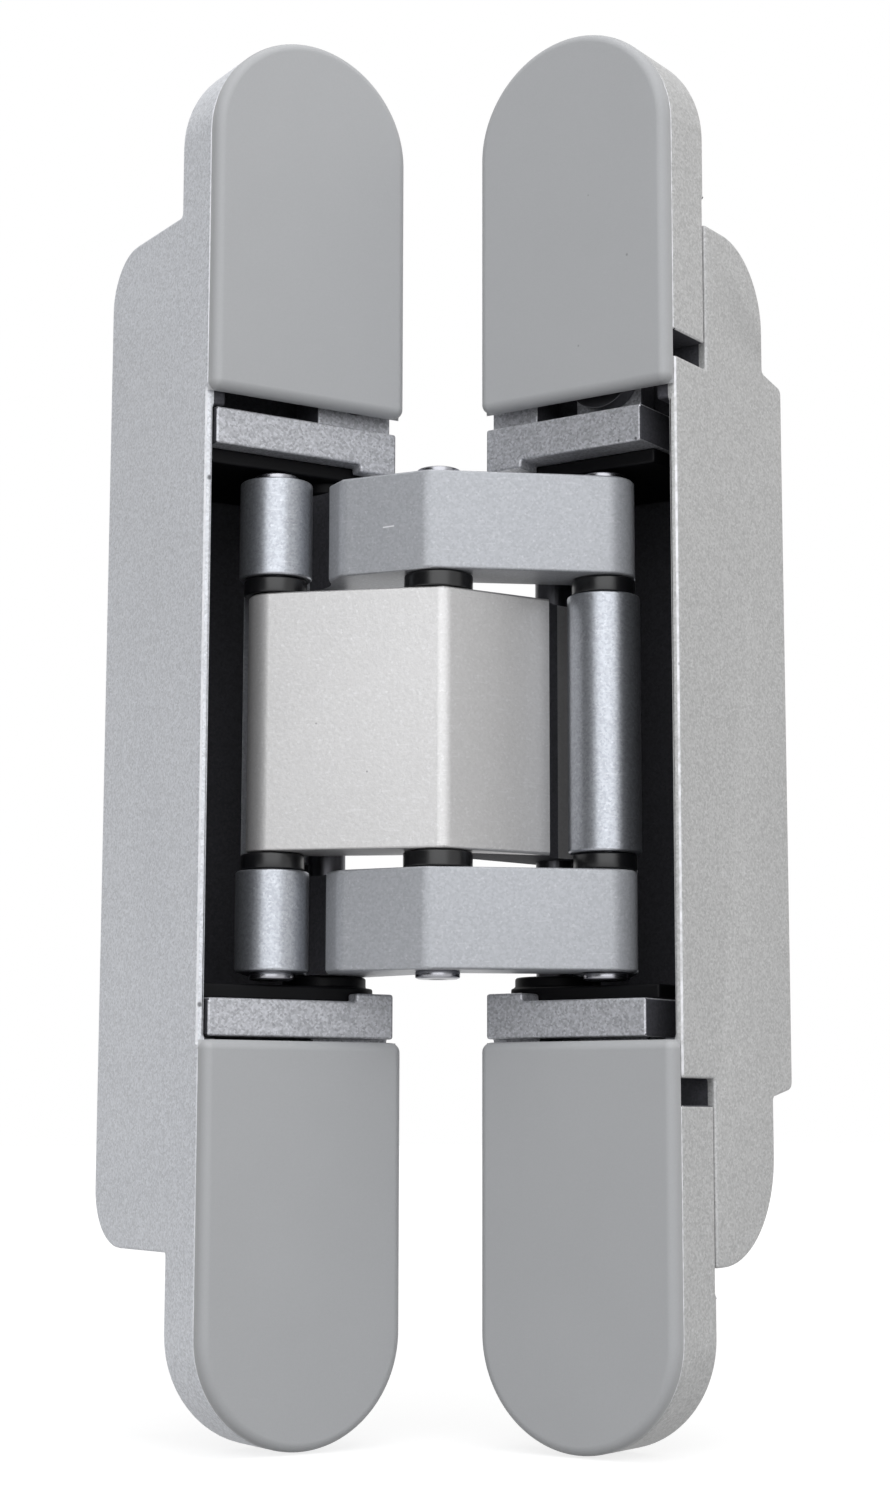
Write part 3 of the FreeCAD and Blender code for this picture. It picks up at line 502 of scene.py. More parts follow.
class Bench:
    """Modelling steps used on one piece at a time."""

    weld = 0.002 * MM
    flat_angle = math.radians(0.6)

    @staticmethod
    def clear() -> None:
        """Deselects everything."""
        if bpy.context.mode != "OBJECT":
            bpy.ops.object.mode_set(mode="OBJECT")
        bpy.ops.object.select_all(action="DESELECT")

    @staticmethod
    def take(piece: Piece, *others: Piece) -> None:
        """Selects one piece and makes it active, with others selected beside it."""
        Bench.clear()
        bpy.context.view_layer.objects.active = piece
        for each in (piece, *others):
            each.select_set(True)

    @staticmethod
    @contextmanager
    def editing(
        piece: Piece, mode: str = "FACE", pick: Callable[[Vert | Edge | Face], bool] | None = None,
        every: bool = False,
    ) -> Iterator[OpenMesh]:
        """Opens a piece in edit mode for the steps of a with block, and closes it after them.

        Args:
            piece: The piece.
            mode: VERT, EDGE or FACE, what is selected.
            pick: Says which of them are selected.
            every: Whether all of them are.

        Yields:
            The open mesh.
        """
        Bench.take(piece)
        bpy.ops.object.mode_set(mode="EDIT")
        bpy.ops.mesh.select_mode(type=mode)
        bpy.ops.mesh.select_all(action="SELECT" if every else "DESELECT")
        mesh = bmesh.from_edit_mesh(piece.data)
        if pick:
            for part in {"VERT": mesh.verts, "EDGE": mesh.edges, "FACE": mesh.faces}[mode]:
                if pick(part):
                    part.select_set(True)
            bmesh.update_edit_mesh(piece.data)
        yield mesh
        bpy.ops.object.mode_set(mode="OBJECT")

    @staticmethod
    def faces(piece: Piece, test: PlaceTest) -> AbstractContextManager[OpenMesh]:
        """Opens a piece with the faces selected whose middle and normal pass a test."""
        return Bench.editing(piece, "FACE", lambda face: test(face.calc_center_median(), face.normal))

    @staticmethod
    def level_faces(piece: Piece, level: float) -> AbstractContextManager[OpenMesh]:
        """Opens a piece with its level faces at one height selected."""
        return Bench.faces(
            piece, lambda middle, normal: abs(middle.z - level) < SLACK and abs(normal.z) > FACING
        )

    @staticmethod
    def round_edges(piece: Piece, pick: Callable[[Edge], bool], reach: float, steps: int) -> None:
        """Rounds picked edges of a piece, with a reach in metres and a number of strips."""
        with Bench.editing(piece, "EDGE", pick):
            bpy.ops.mesh.bevel(offset=reach, segments=steps, profile=0.5, affect="EDGES")

    @staticmethod
    def paint(piece: Piece, material: Material, test: PlaceTest) -> None:
        """Gives some faces of a piece a second material.

        Args:
            piece: The piece.
            material: The second material.
            test: Takes a face's middle and its normal.
        """
        piece.data.materials.append(material)
        with Bench.faces(piece, test):
            piece.active_material_index = 1
            bpy.ops.object.material_slot_assign()

    @staticmethod
    def modifier(piece: Piece, kind: str, **settings: object) -> None:
        """Adds a modifier with its settings and applies it."""
        Bench.take(piece)
        added = piece.modifiers.new(kind.lower(), kind)
        for key, value in settings.items():
            setattr(added, key, value)
        bpy.ops.object.modifier_apply(modifier=added.name)

    @staticmethod
    def soften(piece: Piece, width: float, angle: float = 34.0, steps: int = 3) -> None:
        """Rounds the sharp edges of a piece and shades it smooth.

        Args:
            piece: The piece.
            width: How far the rounding reaches from an edge, in metres.
            angle: Edges that turn more than this, in degrees, are rounded.
            steps: How many strips a rounding has.
        """
        Bench.modifier(
            piece, "BEVEL", width=width, segments=steps, limit_method="ANGLE",
            angle_limit=math.radians(angle), use_clamp_overlap=False, miter_outer="MITER_ARC",
        )
        Bench.clean(piece)
        Bench.shade(piece)

    @staticmethod
    def clean(piece: Piece) -> None:
        """Removes the collapsed faces that a rounding can leave."""
        with Bench.editing(piece, every=True):
            bpy.ops.mesh.remove_doubles(threshold=HAIR)
            bpy.ops.mesh.dissolve_degenerate(threshold=HAIR)

    @staticmethod
    def shade(piece: Piece, angle: float = 42.0) -> None:
        """Shades a piece smooth, with flat faces kept flat."""
        Bench.take(piece)
        bpy.ops.object.shade_smooth_by_angle(angle=math.radians(angle))
        Bench.modifier(piece, "WEIGHTED_NORMAL", keep_sharp=True, weight=80)

    @staticmethod
    def settle(piece: Piece, placing: Matrix | None = None) -> None:
        """Puts the piece's place into its mesh, with its object at the origin.

        Args:
            piece: The piece.
            placing: The way the piece's own side sits in the hinge, unless it is drawn there.
        """
        piece.data.transform((placing or Matrix.Identity(4)) @ piece.matrix_world)
        piece.matrix_world = Matrix.Identity(4)
        with Bench.editing(piece, every=True):
            bpy.ops.mesh.normals_make_consistent(inside=False)

    @staticmethod
    def disc(
        name: str, middle: Point, radius: float, depth: float, sides: int = 72, facing: bool = False
    ) -> Piece:
        """Adds a disc or drum as the start of a round piece.

        Args:
            name: Name of the piece.
            middle: Its middle.
            radius: Its radius.
            depth: Its length along its axis.
            sides: How many sides it has.
            facing: Whether its axis runs from front to back, and not upright.

        Returns:
            The new piece.
        """
        Bench.clear()
        bpy.ops.mesh.primitive_cylinder_add(
            vertices=sides, radius=radius, depth=depth, location=middle,
            rotation=(math.pi / 2 if facing else 0.0, 0.0, 0.0),
        )
        piece = bpy.context.active_object
        piece.name = name
        piece.data.name = name
        if facing:
            bpy.ops.object.transform_apply(location=True, rotation=True, scale=True)
        return piece

    @staticmethod
    def copy_of(node: str, name: str, material: Material) -> Piece:
        """Copies a CAD node's mesh and joins its loose triangles into clean faces.

        Args:
            node: The CAD node.
            name: Name of the new piece.
            material: Its first material.

        Returns:
            The copy, not yet on any body.
        """
        piece = bpy.data.objects.new(name, frame["nodes"][node].data.copy())
        piece.data.name = name
        bpy.context.scene.collection.objects.link(piece)
        piece.data.materials.clear()
        with Bench.editing(piece, every=True):
            bpy.ops.mesh.remove_doubles(threshold=Bench.weld)
            bpy.ops.mesh.customdata_custom_splitnormals_clear()
            bpy.ops.mesh.dissolve_limited(angle_limit=Bench.flat_angle)
        piece.data.materials.append(material)
        return piece

    @staticmethod
    def hand_over(piece: Piece, node: str) -> None:
        """Lets a finished piece stand for a CAD node, on its body."""
        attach(piece, BODY_OF[node])
        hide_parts(node)
        LOG.info("%s: %d faces", piece.name, len(piece.data.polygons))


# ---------------------------------------------------------------- sub-assemblies

@dataclass
class Layout:
    """How the two sides sit in the hinge; each side is drawn in its own frame, in metres."""

    opening: float = math.radians(113.37)
    centre: Vector = field(default_factory=lambda: Vector((12.12, -9.68, 0)) * MM)
    door_shift: Vector = field(default_factory=lambda: Vector((1.43, 1.39, 0)) * MM)

    @property
    def door_side(self) -> Matrix:
        """The door side is mirrored and turned about the centre pivot by the opening."""
        cos, sin = math.cos(self.opening), math.sin(self.opening)
        turn = Matrix(((cos, sin, 0, 0), (sin, -cos, 0, 0), (0, 0, 1, 0), (0, 0, 0, 1)))
        away = Matrix.Translation(-(self.centre + self.door_shift))
        return Matrix.Translation(self.centre) @ turn @ away

    @property
    def sides(self) -> dict[str, Matrix]:
        """The placing of each side by its name; the frame side sits as it is drawn."""
        return {"frame": Matrix.Identity(4), "door": self.door_side}


@dataclass
class Castings:
    """The two body castings, the two sliding end plates and the two carriages.

    Attributes:
        layout: The placing of the sides.
        coats: The coat of each side's body, lighter on the frame side and darker on the door side as painted
            light.
        cavity: Painted shade: the dark surface for faces that lie in shade inside.
        carriage: The coat of the carriages.
    """

    layout: Layout
    coats: dict[str, Material]
    cavity: Material
    carriage: Material
    body_edge: float = 0.35 * MM
    small_edge: float = 0.3 * MM
    half_width: float = 12.5 * MM
    cavity_outer: float = -11.5 * MM
    cavity_depth: float = 24.6 * MM
    recess_half: float = 46.0 * MM
    slack: float = 0.05 * MM
    lip_level: float = 29.3 * MM
    lip_trim: float = 0.9 * MM
    shelf_outer: float = 35.6 * MM
    front_turn: float = 0.5

    def make(self) -> None:
        """Makes every casting."""
        for side, placing in self.layout.sides.items():
            body = self._cast(side + "_body", placing, self.coats[side], self.body_edge)
            self._darken_cavity(body, placing)
            front = placing.to_3x3() @ Vector((0, -1, 0))
            self._cast(
                side + "_carriage", placing, self.carriage, self.small_edge,
                lambda piece: self._dress_carriage(piece, front),
            )
        # Painted shade: the faces of the end plates that turn towards the middle of the hinge get the dark
        # surface.
        for end in End:
            self._cast(
                "door_plate_" + end.word, self.layout.door_side, self.coats["door"], self.small_edge,
                lambda plate: Bench.paint(
                    plate, self.cavity, lambda middle, normal: normal.z * end.value < -FACING
                ),
            )

    def _cast(
        self, node: str, placing: Matrix, material: Material, width: float,
        shape: Callable[[Piece], None] | None = None,
    ) -> Piece:
        """Makes one casting with its edges rounded as a mould leaves them.

        Args:
            node: The CAD node.
            placing: The way its side sits in the hinge.
            material: Its coat.
            width: Reach of the rounding.
            shape: A change to its form before the rounding.

        Returns:
            The finished casting.
        """
        piece = Bench.copy_of(node, node + "_casting", material)
        if shape:
            shape(piece)
        Bench.soften(piece, width)
        self._keep_inside(piece, node, placing)
        Bench.hand_over(piece, node)
        return piece

    @staticmethod
    def _keep_inside(piece: Piece, node: str, placing: Matrix) -> None:
        """Pulls stray points of a rounding back to the CAD node's own box.

        Args:
            piece: The casting.
            node: The CAD node.
            placing: The way its side sits in the hinge.
        """
        back = placing.inverted()
        source = frame["nodes"][node]
        spots = [back @ (source.matrix_world @ vertex.co) for vertex in source.data.vertices]
        limits = [(min(axis), max(axis)) for axis in zip(*spots)]
        for vertex in piece.data.vertices:
            spot = back @ vertex.co
            kept = [min(max(value, low), high) for value, (low, high) in zip(spot, limits)]
            vertex.co = placing @ Vector(kept)
        piece.data.update()

    def _dress_carriage(self, carriage: Piece, front: Vector) -> None:
        """Paints shade on the parts of a carriage that lie back, and thins the edge of its shelves' lips.

        Args:
            carriage: The carriage casting.
            front: The way that the front of its side faces.
        """
        Bench.paint(
            carriage, self.cavity,
            lambda middle, normal: abs(middle.z) < self.lip_level - MM
            or (abs(middle.z) > self.shelf_outer and normal.dot(front) < self.front_turn),
        )
        for end in End:
            level = end.value * self.lip_level
            with Bench.level_faces(carriage, level):
                bpy.ops.transform.translate(value=(0, 0, end.value * self.lip_trim))

    def _darken_cavity(self, body: Piece, placing: Matrix) -> None:
        """Paints shade on the walls inside the open cavity with the dark surface.

        Args:
            body: The body casting.
            placing: The way its side sits in the hinge.
        """
        back = placing.inverted()
        cuts = [(Vector((0, 0, end.value * self.recess_half)), Vector((0, 0, 1))) for end in End]
        cuts.append((placing @ Vector((self.cavity_outer, 0, 0)), placing.to_3x3() @ Vector((1, 0, 0))))
        for place, normal in cuts:
            with Bench.editing(body, every=True):
                bpy.ops.mesh.bisect(plane_co=place, plane_no=normal, threshold=HAIR)

        def inside(middle: Vector, normal: Vector) -> bool:
            """True for a face in the cavity."""
            spot = back @ middle
            return (
                self.cavity_outer - self.slack < spot.x < self.half_width - self.slack
                and 6 * self.slack < spot.y < self.cavity_depth + self.slack
                and abs(spot.z) < self.recess_half + self.slack
            )

        Bench.paint(body, self.cavity, inside)


@dataclass
class Linkage:
    """The crossed arms and the links that guide their ends.

    Attributes:
        coats: The coat of each piece by its node, in the order in which they are made.
        dark: Painted shade: the dark surface for faces that lie in shade.
    """

    coats: dict[str, Material]
    dark: Material
    link_edge: float = 0.3 * MM
    web_build: float = 0.6 * MM
    web_area: float = 40.0 * MM * MM
    web_turn: float = 0.5
    corner: float = 0.9 * MM
    corner_turn: float = math.radians(20)
    strip: float = 0.2 * MM
    fillet_most: float = 2.2 * MM
    upright: float = 3.0 * MM
    weld: float = 0.02 * MM
    middle_foot: float = 24.7 * MM
    leaf_foot: float = 0.8 * MM
    front_corners: tuple[Point, ...] = ((3.0, -3.3, 0.0), (8.92, -12.68, 0.0), (10.52, -13.63, 0.0))
    corner_reach: float = 0.3 * MM
    corner_steps: int = 4
    lean: float = 0.05
    least_turn: float = 0.3
    foot_front: float = -0.95
    foot_side: float = -0.85

    def make(self) -> None:
        """Makes every arm and link."""
        for node, coat in self.coats.items():
            piece = Bench.copy_of(node, node + "_coated", coat)
            if node.endswith("link"):
                self._thicken_web(piece, node)
                Bench.soften(piece, self.link_edge, angle=20.0, steps=4)
            else:
                self._round_corners(piece)
                self._darken_foot(piece, node)
                Bench.clean(piece)
                Bench.shade(piece, angle=50.0)
            Bench.hand_over(piece, node)

    def _round_corners(self, arm: Piece) -> None:
        """Rounds the upright corners of an arm, its small front fillets drawn out to corners first."""
        for ring, corner in self._fillets(arm):
            for level in sorted({round(spot.z, 6) for spot in ring}):
                near = [spot for spot in ring if abs(spot.z - level) < SLACK]
                with Bench.editing(
                    arm, "VERT", lambda vertex: any((vertex.co - spot).length < HAIR for spot in near)
                ):
                    bpy.context.scene.cursor.location = (corner.x, corner.y, level)
                    bpy.ops.mesh.merge(type="CURSOR")
        with Bench.editing(arm, every=True):
            bpy.ops.mesh.remove_doubles(threshold=self.weld)
            bpy.ops.mesh.dissolve_degenerate(threshold=self.weld)
        Bench.round_edges(arm, self._is_corner, self.corner, self.corner_steps)

    def _is_corner(self, edge: Edge) -> bool:
        """True for an upright outward corner with a broad face on both sides."""
        return (
            self._rise(edge) > self.upright and len(edge.link_faces) == 2 and edge.is_convex
            and edge.calc_face_angle() > self.corner_turn
            and min(self._width(face) for face in edge.link_faces) > self.corner
        )

    @staticmethod
    def _rise(edge: Edge) -> float:
        """Difference in height between the ends of an edge."""
        return abs((edge.verts[1].co - edge.verts[0].co).z)

    @staticmethod
    def _width(face: Face) -> float:
        """Width of an upright face."""
        heights = [vertex.co.z for vertex in face.verts]
        return face.calc_area() / max(max(heights) - min(heights), SLACK)

    def _fillets(self, arm: Piece) -> list[tuple[list[Vector], Vector]]:
        """Finds the small fillets at an arm's front corners.

        Args:
            arm: The arm.

        Returns:
            For each fillet, the places of its vertices and the corner where its two sides would meet.
        """
        found = []
        with Bench.editing(arm) as mesh:
            strips = {
                face for face in mesh.faces
                if abs(face.normal.z) < self.lean and len(face.verts) == 4 and self._width(face) < self.strip
            }
            while strips:
                run, sides = self._run_of(strips)
                corner = self._meeting(sides)
                if corner is None or sum(self._width(face) for face in run) > self.fillet_most:
                    continue
                gaps = [(corner - Vector(place) * MM).length for place in self.front_corners]
                if min(gaps) < self.corner_reach:
                    found.append(([vertex.co.copy() for face in run for vertex in face.verts], corner))
        return found

    def _run_of(self, strips: set[Face]) -> tuple[list[Face], list[Face]]:
        """Takes one run of neighbouring strips out of a set.

        Args:
            strips: The strips not yet in a run.

        Returns:
            The strips of the run, and the faces beside it.
        """
        run, sides = [strips.pop()], []
        for strip in run:
            for edge in strip.edges:
                if self._rise(edge) < self.upright:
                    continue
                for face in edge.link_faces:
                    if face in strips:
                        strips.discard(face)
                        run.append(face)
                    elif face not in run:
                        sides.append(face)
        return run, sides

    def _meeting(self, sides: list[Face]) -> Vector | None:
        """Finds where two upright faces would meet.

        Args:
            sides: The faces.

        Returns:
            The corner, or None where there aren't two, or they hardly turn or aren't upright.
        """
        if len(sides) != 2:
            return None
        first, second = (side.normal for side in sides)
        cross = first.x * second.y - first.y * second.x
        if abs(cross) < self.least_turn or max(abs(first.z), abs(second.z)) > self.lean:
            return None
        reach = [side.normal.dot(side.calc_center_median()) for side in sides]
        return Vector((
            (reach[0] * second.y - reach[1] * first.y) / cross,
            (reach[1] * first.x - reach[0] * second.x) / cross, 0.0,
        ))

    def _darken_foot(self, arm: Piece, node: str) -> None:
        """Paints shade on the part of an arm that turns into a cavity.

        Args:
            arm: The arm.
            node: Its CAD node.
        """
        def at_foot(middle: Vector, normal: Vector) -> bool:
            """True for a face of the foot, apart from its front."""
            if node == "middle_arm":
                return middle.x > self.middle_foot and normal.y > self.foot_front
            return middle.y > self.leaf_foot and normal.x < self.foot_side

        Bench.paint(arm, self.dark, at_foot)

    def _thicken_web(self, link: Piece, node: str) -> None:
        """Builds out the web of a link on the side away from its barrels.

        Args:
            link: The link.
            node: Its CAD node.
        """
        foot, end = Vector(pin_axis(node + "_foot_pin")), Vector(pin_axis(node + "_end_pin"))
        along = (end - foot).normalized()
        with Bench.editing(link) as mesh:
            broad = [
                face for face in mesh.faces
                if abs(face.normal.z) < self.lean and abs(face.normal.dot(along)) < self.web_turn
                and face.calc_area() > self.web_area
            ]
            web = max(broad, key=lambda face: face.normal.dot(face.calc_center_median() - foot))
            build = web.normal * self.web_build
            web.select_set(True)
            bmesh.update_edit_mesh(link.data)
            bpy.ops.mesh.extrude_region_move(TRANSFORM_OT_translate={"value": build})


@dataclass
class HeadedPin:
    """A pin with a low head at both ends, and waists where an arm has play."""

    node: str
    waists: tuple[tuple[float, float], ...] = ()
    radius: float = 2.15 * MM
    waist: float = 1.05 * MM
    waist_step: float = 0.02 * MM
    head_radius: float = 2.5 * MM
    head_height: float = 0.75 * MM
    head_gap: float = 0.04 * MM
    overlap: float = 0.2 * MM
    linkage_half: float = 28.0 * MM
    edge: float = 0.08 * MM
    head_steps: tuple[tuple[float, float], ...] = (
        (0.35 * MM, 0.15 * MM), (1.1 * MM, 0.0), (0.3 * MM, -0.2 * MM),
    )

    def make(self, steel: Material) -> None:
        """Turns the pin, with its heads and its waists.

        Args:
            steel: Its material.
        """
        axis = pin_axis(self.node)
        half = self.linkage_half + self.head_gap + self.overlap
        shaft = Bench.disc(self.node + "_turned", axis, self.radius, 2 * half)
        for bottom, top in self.waists:
            self._thin(shaft, axis, bottom, top)
        heads = [self._head(axis, end) for end in End]
        Bench.take(shaft, *heads)
        bpy.ops.object.join()
        Bench.settle(shaft)
        shaft.data.materials.append(steel)
        Bench.soften(shaft, self.edge, angle=40.0, steps=2)
        Bench.hand_over(shaft, self.node)

    def _thin(self, shaft: Piece, axis: Point, bottom: float, top: float) -> None:
        """Draws the shaft in between two heights.

        Args:
            shaft: The shaft.
            axis: A point on its axis.
            bottom: Lower end of the thin stretch.
            top: Upper end of the thin stretch.
        """
        for level in (bottom, bottom + self.waist_step, top - self.waist_step, top):
            with Bench.editing(shaft, "VERT", every=True):
                bpy.ops.mesh.bisect(plane_co=(axis[0], axis[1], level), plane_no=(0, 0, 1), threshold=HAIR)
        low, high = bottom + self.waist_step / 2, top - self.waist_step / 2
        share = self.waist / self.radius
        with Bench.editing(shaft, "VERT", lambda vertex: low < vertex.co.z < high):
            bpy.ops.transform.resize(value=(share, share, 1.0), center_override=axis)

    def _head(self, axis: Point, end: End) -> Piece:
        """Makes one head: a low disc with a raised middle and a small dimple.

        Args:
            axis: A point on the pin's axis.
            end: Which end of the pin.

        Returns:
            The head.
        """
        foot, top = self.linkage_half + self.head_gap, self.linkage_half + self.head_height
        middle = (axis[0], axis[1], end.value * (foot + top) / 2)
        head = Bench.disc("head_" + end.word, middle, self.head_radius, top - foot)
        for inset, lift in self.head_steps:
            with Bench.editing(head) as mesh:
                tip = max(
                    mesh.faces,
                    key=lambda face: (end.value * face.calc_center_median().z, -face.calc_area()),
                )
                tip.select_set(True)
                bmesh.update_edit_mesh(head.data)
                bpy.ops.mesh.inset(thickness=inset, depth=0.0)
                bpy.ops.transform.translate(value=(0, 0, end.value * lift))
        return head


@dataclass
class Pivots:
    """Pins, washers and bearing plates that the arms turn on.

    Attributes:
        steel: Gives the turned steel of a pin by its node.
        inner: Steel of the pins that lie back in the bodies, darkened as painted shade.
        washer: Material of the washers.
        bearing: Material of the bearing plates.
    """

    steel: Callable[[str], Material]
    inner: Material
    washer: Material
    bearing: Material
    middle_level: float = 14.8 * MM
    leaf_level: tuple[float, float] = (16.6 * MM, 28.3 * MM)
    bearing_ring: float = 4.2 * MM
    bearing_shown: float = 4.6 * MM
    ring_slack: float = 0.06 * MM
    centre_washer: float = 3.9 * MM
    link_washer: float = 3.6 * MM
    pin_edge: float = 0.25 * MM
    bearing_edge: float = 0.3 * MM
    washer_edge: float = 0.2 * MM

    def make(self) -> None:
        """Makes every pivot piece."""
        low, high = self.leaf_level
        for pin in (
            HeadedPin("centre_pin"),
            HeadedPin("frame_link_end_pin", ((-self.middle_level, self.middle_level),)),
            HeadedPin("door_link_end_pin", ((low, high), (-high, -low))),
        ):
            pin.make(self.steel(pin.node))
        for side in ("frame", "door"):
            for role in ("arm_pin", "link_foot_pin"):
                self._ease(f"{side}_{role}", self.inner, self.pin_edge)
            axis = pin_axis(side + "_arm_pin")
            for end in End:
                self._ease(
                    f"{side}_bearing_{end.word}", self.bearing, self.bearing_edge,
                    lambda piece: self._widen(piece, axis),
                )
        for end in End:
            for place, pin_node, radius in (
                ("centre", "centre_pin", self.centre_washer),
                ("frame_link", "frame_link_end_pin", self.link_washer),
                ("door_link", "door_link_end_pin", self.link_washer),
            ):
                self._washer(f"{place}_washer_{end.word}", pin_axis(pin_node), radius)

    def _washer(self, node: str, axis: Point, radius: float) -> None:
        """Turns a washer that fills the gap between two levels of arms.

        Args:
            node: The CAD node.
            axis: A point on its axis.
            radius: The radius that shows.
        """
        low, high = (corner[2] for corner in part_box(node))
        washer = Bench.disc(node + "_turned", (axis[0], axis[1], (low + high) / 2), radius, high - low)
        Bench.settle(washer)
        washer.data.materials.append(self.washer)
        Bench.soften(washer, self.washer_edge, angle=40.0)
        Bench.hand_over(washer, node)

    def _widen(self, plate: Piece, axis: Point) -> None:
        """Moves the round wall of a bearing plate outwards to the radius that shows.

        Args:
            plate: The bearing plate.
            axis: A point on the wall's axis.
        """
        def on_ring(vertex: Vert) -> bool:
            """True for a point of the round wall."""
            reach = math.hypot(vertex.co.x - axis[0], vertex.co.y - axis[1])
            return abs(reach - self.bearing_ring) < self.ring_slack

        share = self.bearing_shown / self.bearing_ring
        with Bench.editing(plate, "VERT", on_ring):
            bpy.ops.transform.resize(value=(share, share, 1.0), center_override=axis)

    @staticmethod
    def _ease(
        node: str, material: Material, width: float, shape: Callable[[Piece], None] | None = None
    ) -> None:
        """Makes one small piece with its edges eased.

        Args:
            node: The CAD node.
            material: Its material.
            width: Reach of the rounding.
            shape: A change to its form before the rounding.
        """
        piece = Bench.copy_of(node, node + "_eased", material)
        if shape:
            shape(piece)
        Bench.soften(piece, width)
        Bench.hand_over(piece, node)


@dataclass
class CoverCap:
    """A moulded cap that covers one end of a body, with two posts behind it."""

    side: str
    end: End
    placing: Matrix
    cut: float
    radius: float = 12.5 * MM
    thickness: float = 1.75 * MM
    rim: float = 1.1 * MM
    seam: float = 0.15 * MM
    outline_sides: int = 160
    rim_steps: int = 10
    seam_steps: int = 2
    post_radius: float = 1.3 * MM
    post_depth: float = 4.0 * MM
    post_sunk: float = 0.2 * MM
    post_x: float = 8.5 * MM
    post_z: float = 61.5 * MM
    post_sides: int = 24

    def make(self, plastic: Material) -> None:
        """Moulds the cap.

        Args:
            plastic: Its material.
        """
        node = f"{self.side}_cap_{self.end.word}"
        cap = self._plate(node + "_moulded")

        def on_back(edge: Edge) -> bool:
            """True for an edge round the back, where the cap meets its body."""
            return all(abs(tip.co.y) < SLACK for tip in edge.verts)

        def on_rim(edge: Edge) -> bool:
            """True for an edge round the front, or one from front to back at the straight end."""
            in_front = all(abs(tip.co.y + self.thickness) < SLACK for tip in edge.verts)
            at_cut = all(abs(tip.co.z - self.cut) < SLACK for tip in edge.verts)
            return in_front or (at_cut and abs(edge.verts[0].co.x - edge.verts[1].co.x) < SLACK)

        Bench.round_edges(cap, on_back, self.seam, self.seam_steps)
        Bench.round_edges(cap, on_rim, self.rim, self.rim_steps)
        middle = (self.post_depth - self.post_sunk) / 2
        posts = [
            Bench.disc(
                "post", (x, middle, self.end.value * self.post_z), self.post_radius,
                self.post_depth + self.post_sunk, self.post_sides, facing=True,
            )
            for x in (-self.post_x, self.post_x)
        ]
        Bench.take(cap, *posts)
        bpy.ops.object.join()
        Bench.settle(cap, self.placing)
        cap.data.materials.append(plastic)
        Bench.shade(cap, angle=38.0)
        Bench.hand_over(cap, node)

    def _plate(self, name: str) -> Piece:
        """Makes the cap's plate: half a disc drawn out to its straight end.

        Args:
            name: Name of the piece.

        Returns:
            The plate, drawn in its side's own frame.
        """
        tip = self.end.value * (HINGE_HALF - self.radius)
        middle = (0.0, -self.thickness / 2, tip)
        cap = Bench.disc(name, middle, self.radius, self.thickness, self.outline_sides, facing=True)
        with Bench.editing(cap, every=True):
            bpy.ops.mesh.bisect(
                plane_co=(0, 0, tip), plane_no=(0, 0, self.end.value), use_fill=True, clear_inner=True
            )
        with Bench.level_faces(cap, tip):
            bpy.ops.mesh.extrude_region_move(TRANSFORM_OT_translate={"value": (0, 0, self.cut - tip)})
            bpy.ops.mesh.select_all(action="SELECT")
            bpy.ops.mesh.dissolve_limited(angle_limit=math.radians(0.5))
        return cap


@dataclass
class Adjusters:
    """Depth screws, side cams and clamp screws behind the caps.

    Attributes:
        plated: Their plated steel, darkened as painted shade of the pockets that hold them.
        clamp_share: Size of a clamp screw beside its CAD node, so that it clears the ends of its slot.
    """

    plated: Material
    clamp_share: float = 0.9
    edge: float = 0.12 * MM

    def make(self) -> None:
        """Makes every adjuster."""
        for end in End:
            for role in ("depth_screw", "side_cam", "clamp_screw"):
                node = f"{role}_{end.word}"
                piece = Bench.copy_of(node, node + "_plated", self.plated)
                if role == "clamp_screw":
                    self._shrink(piece, node)
                Bench.soften(piece, self.edge, steps=2)
                Bench.hand_over(piece, node)

    def _shrink(self, screw: Piece, node: str) -> None:
        """Makes a clamp screw slightly smaller about its middle."""
        low, high = (Vector(corner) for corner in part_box(node))
        with Bench.editing(screw, every=True):
            bpy.ops.transform.resize(value=(self.clamp_share,) * 3, center_override=(low + high) / 2)


# ----------------------------------------------------------------------- studio

@dataclass(frozen=True)
class SoftBox:
    """A square studio lamp that faces a point."""

    name: str
    place: Point
    target: Point
    size: float
    power: float
    tint: Point = (1.0, 1.0, 1.0)

    def make(self) -> None:
        """Hangs the lamp."""
        lamp = bpy.data.lights.new(self.name, "AREA")
        lamp.shape = "SQUARE"
        lamp.size = self.size
        lamp.energy = self.power
        lamp.color = self.tint
        holder = bpy.data.objects.new(self.name, lamp)
        bpy.context.scene.collection.objects.link(holder)
        holder.location = self.place
        aim = Vector(self.target) - Vector(self.place)
        holder.rotation_euler = aim.to_track_quat("-Z", "Y").to_euler()


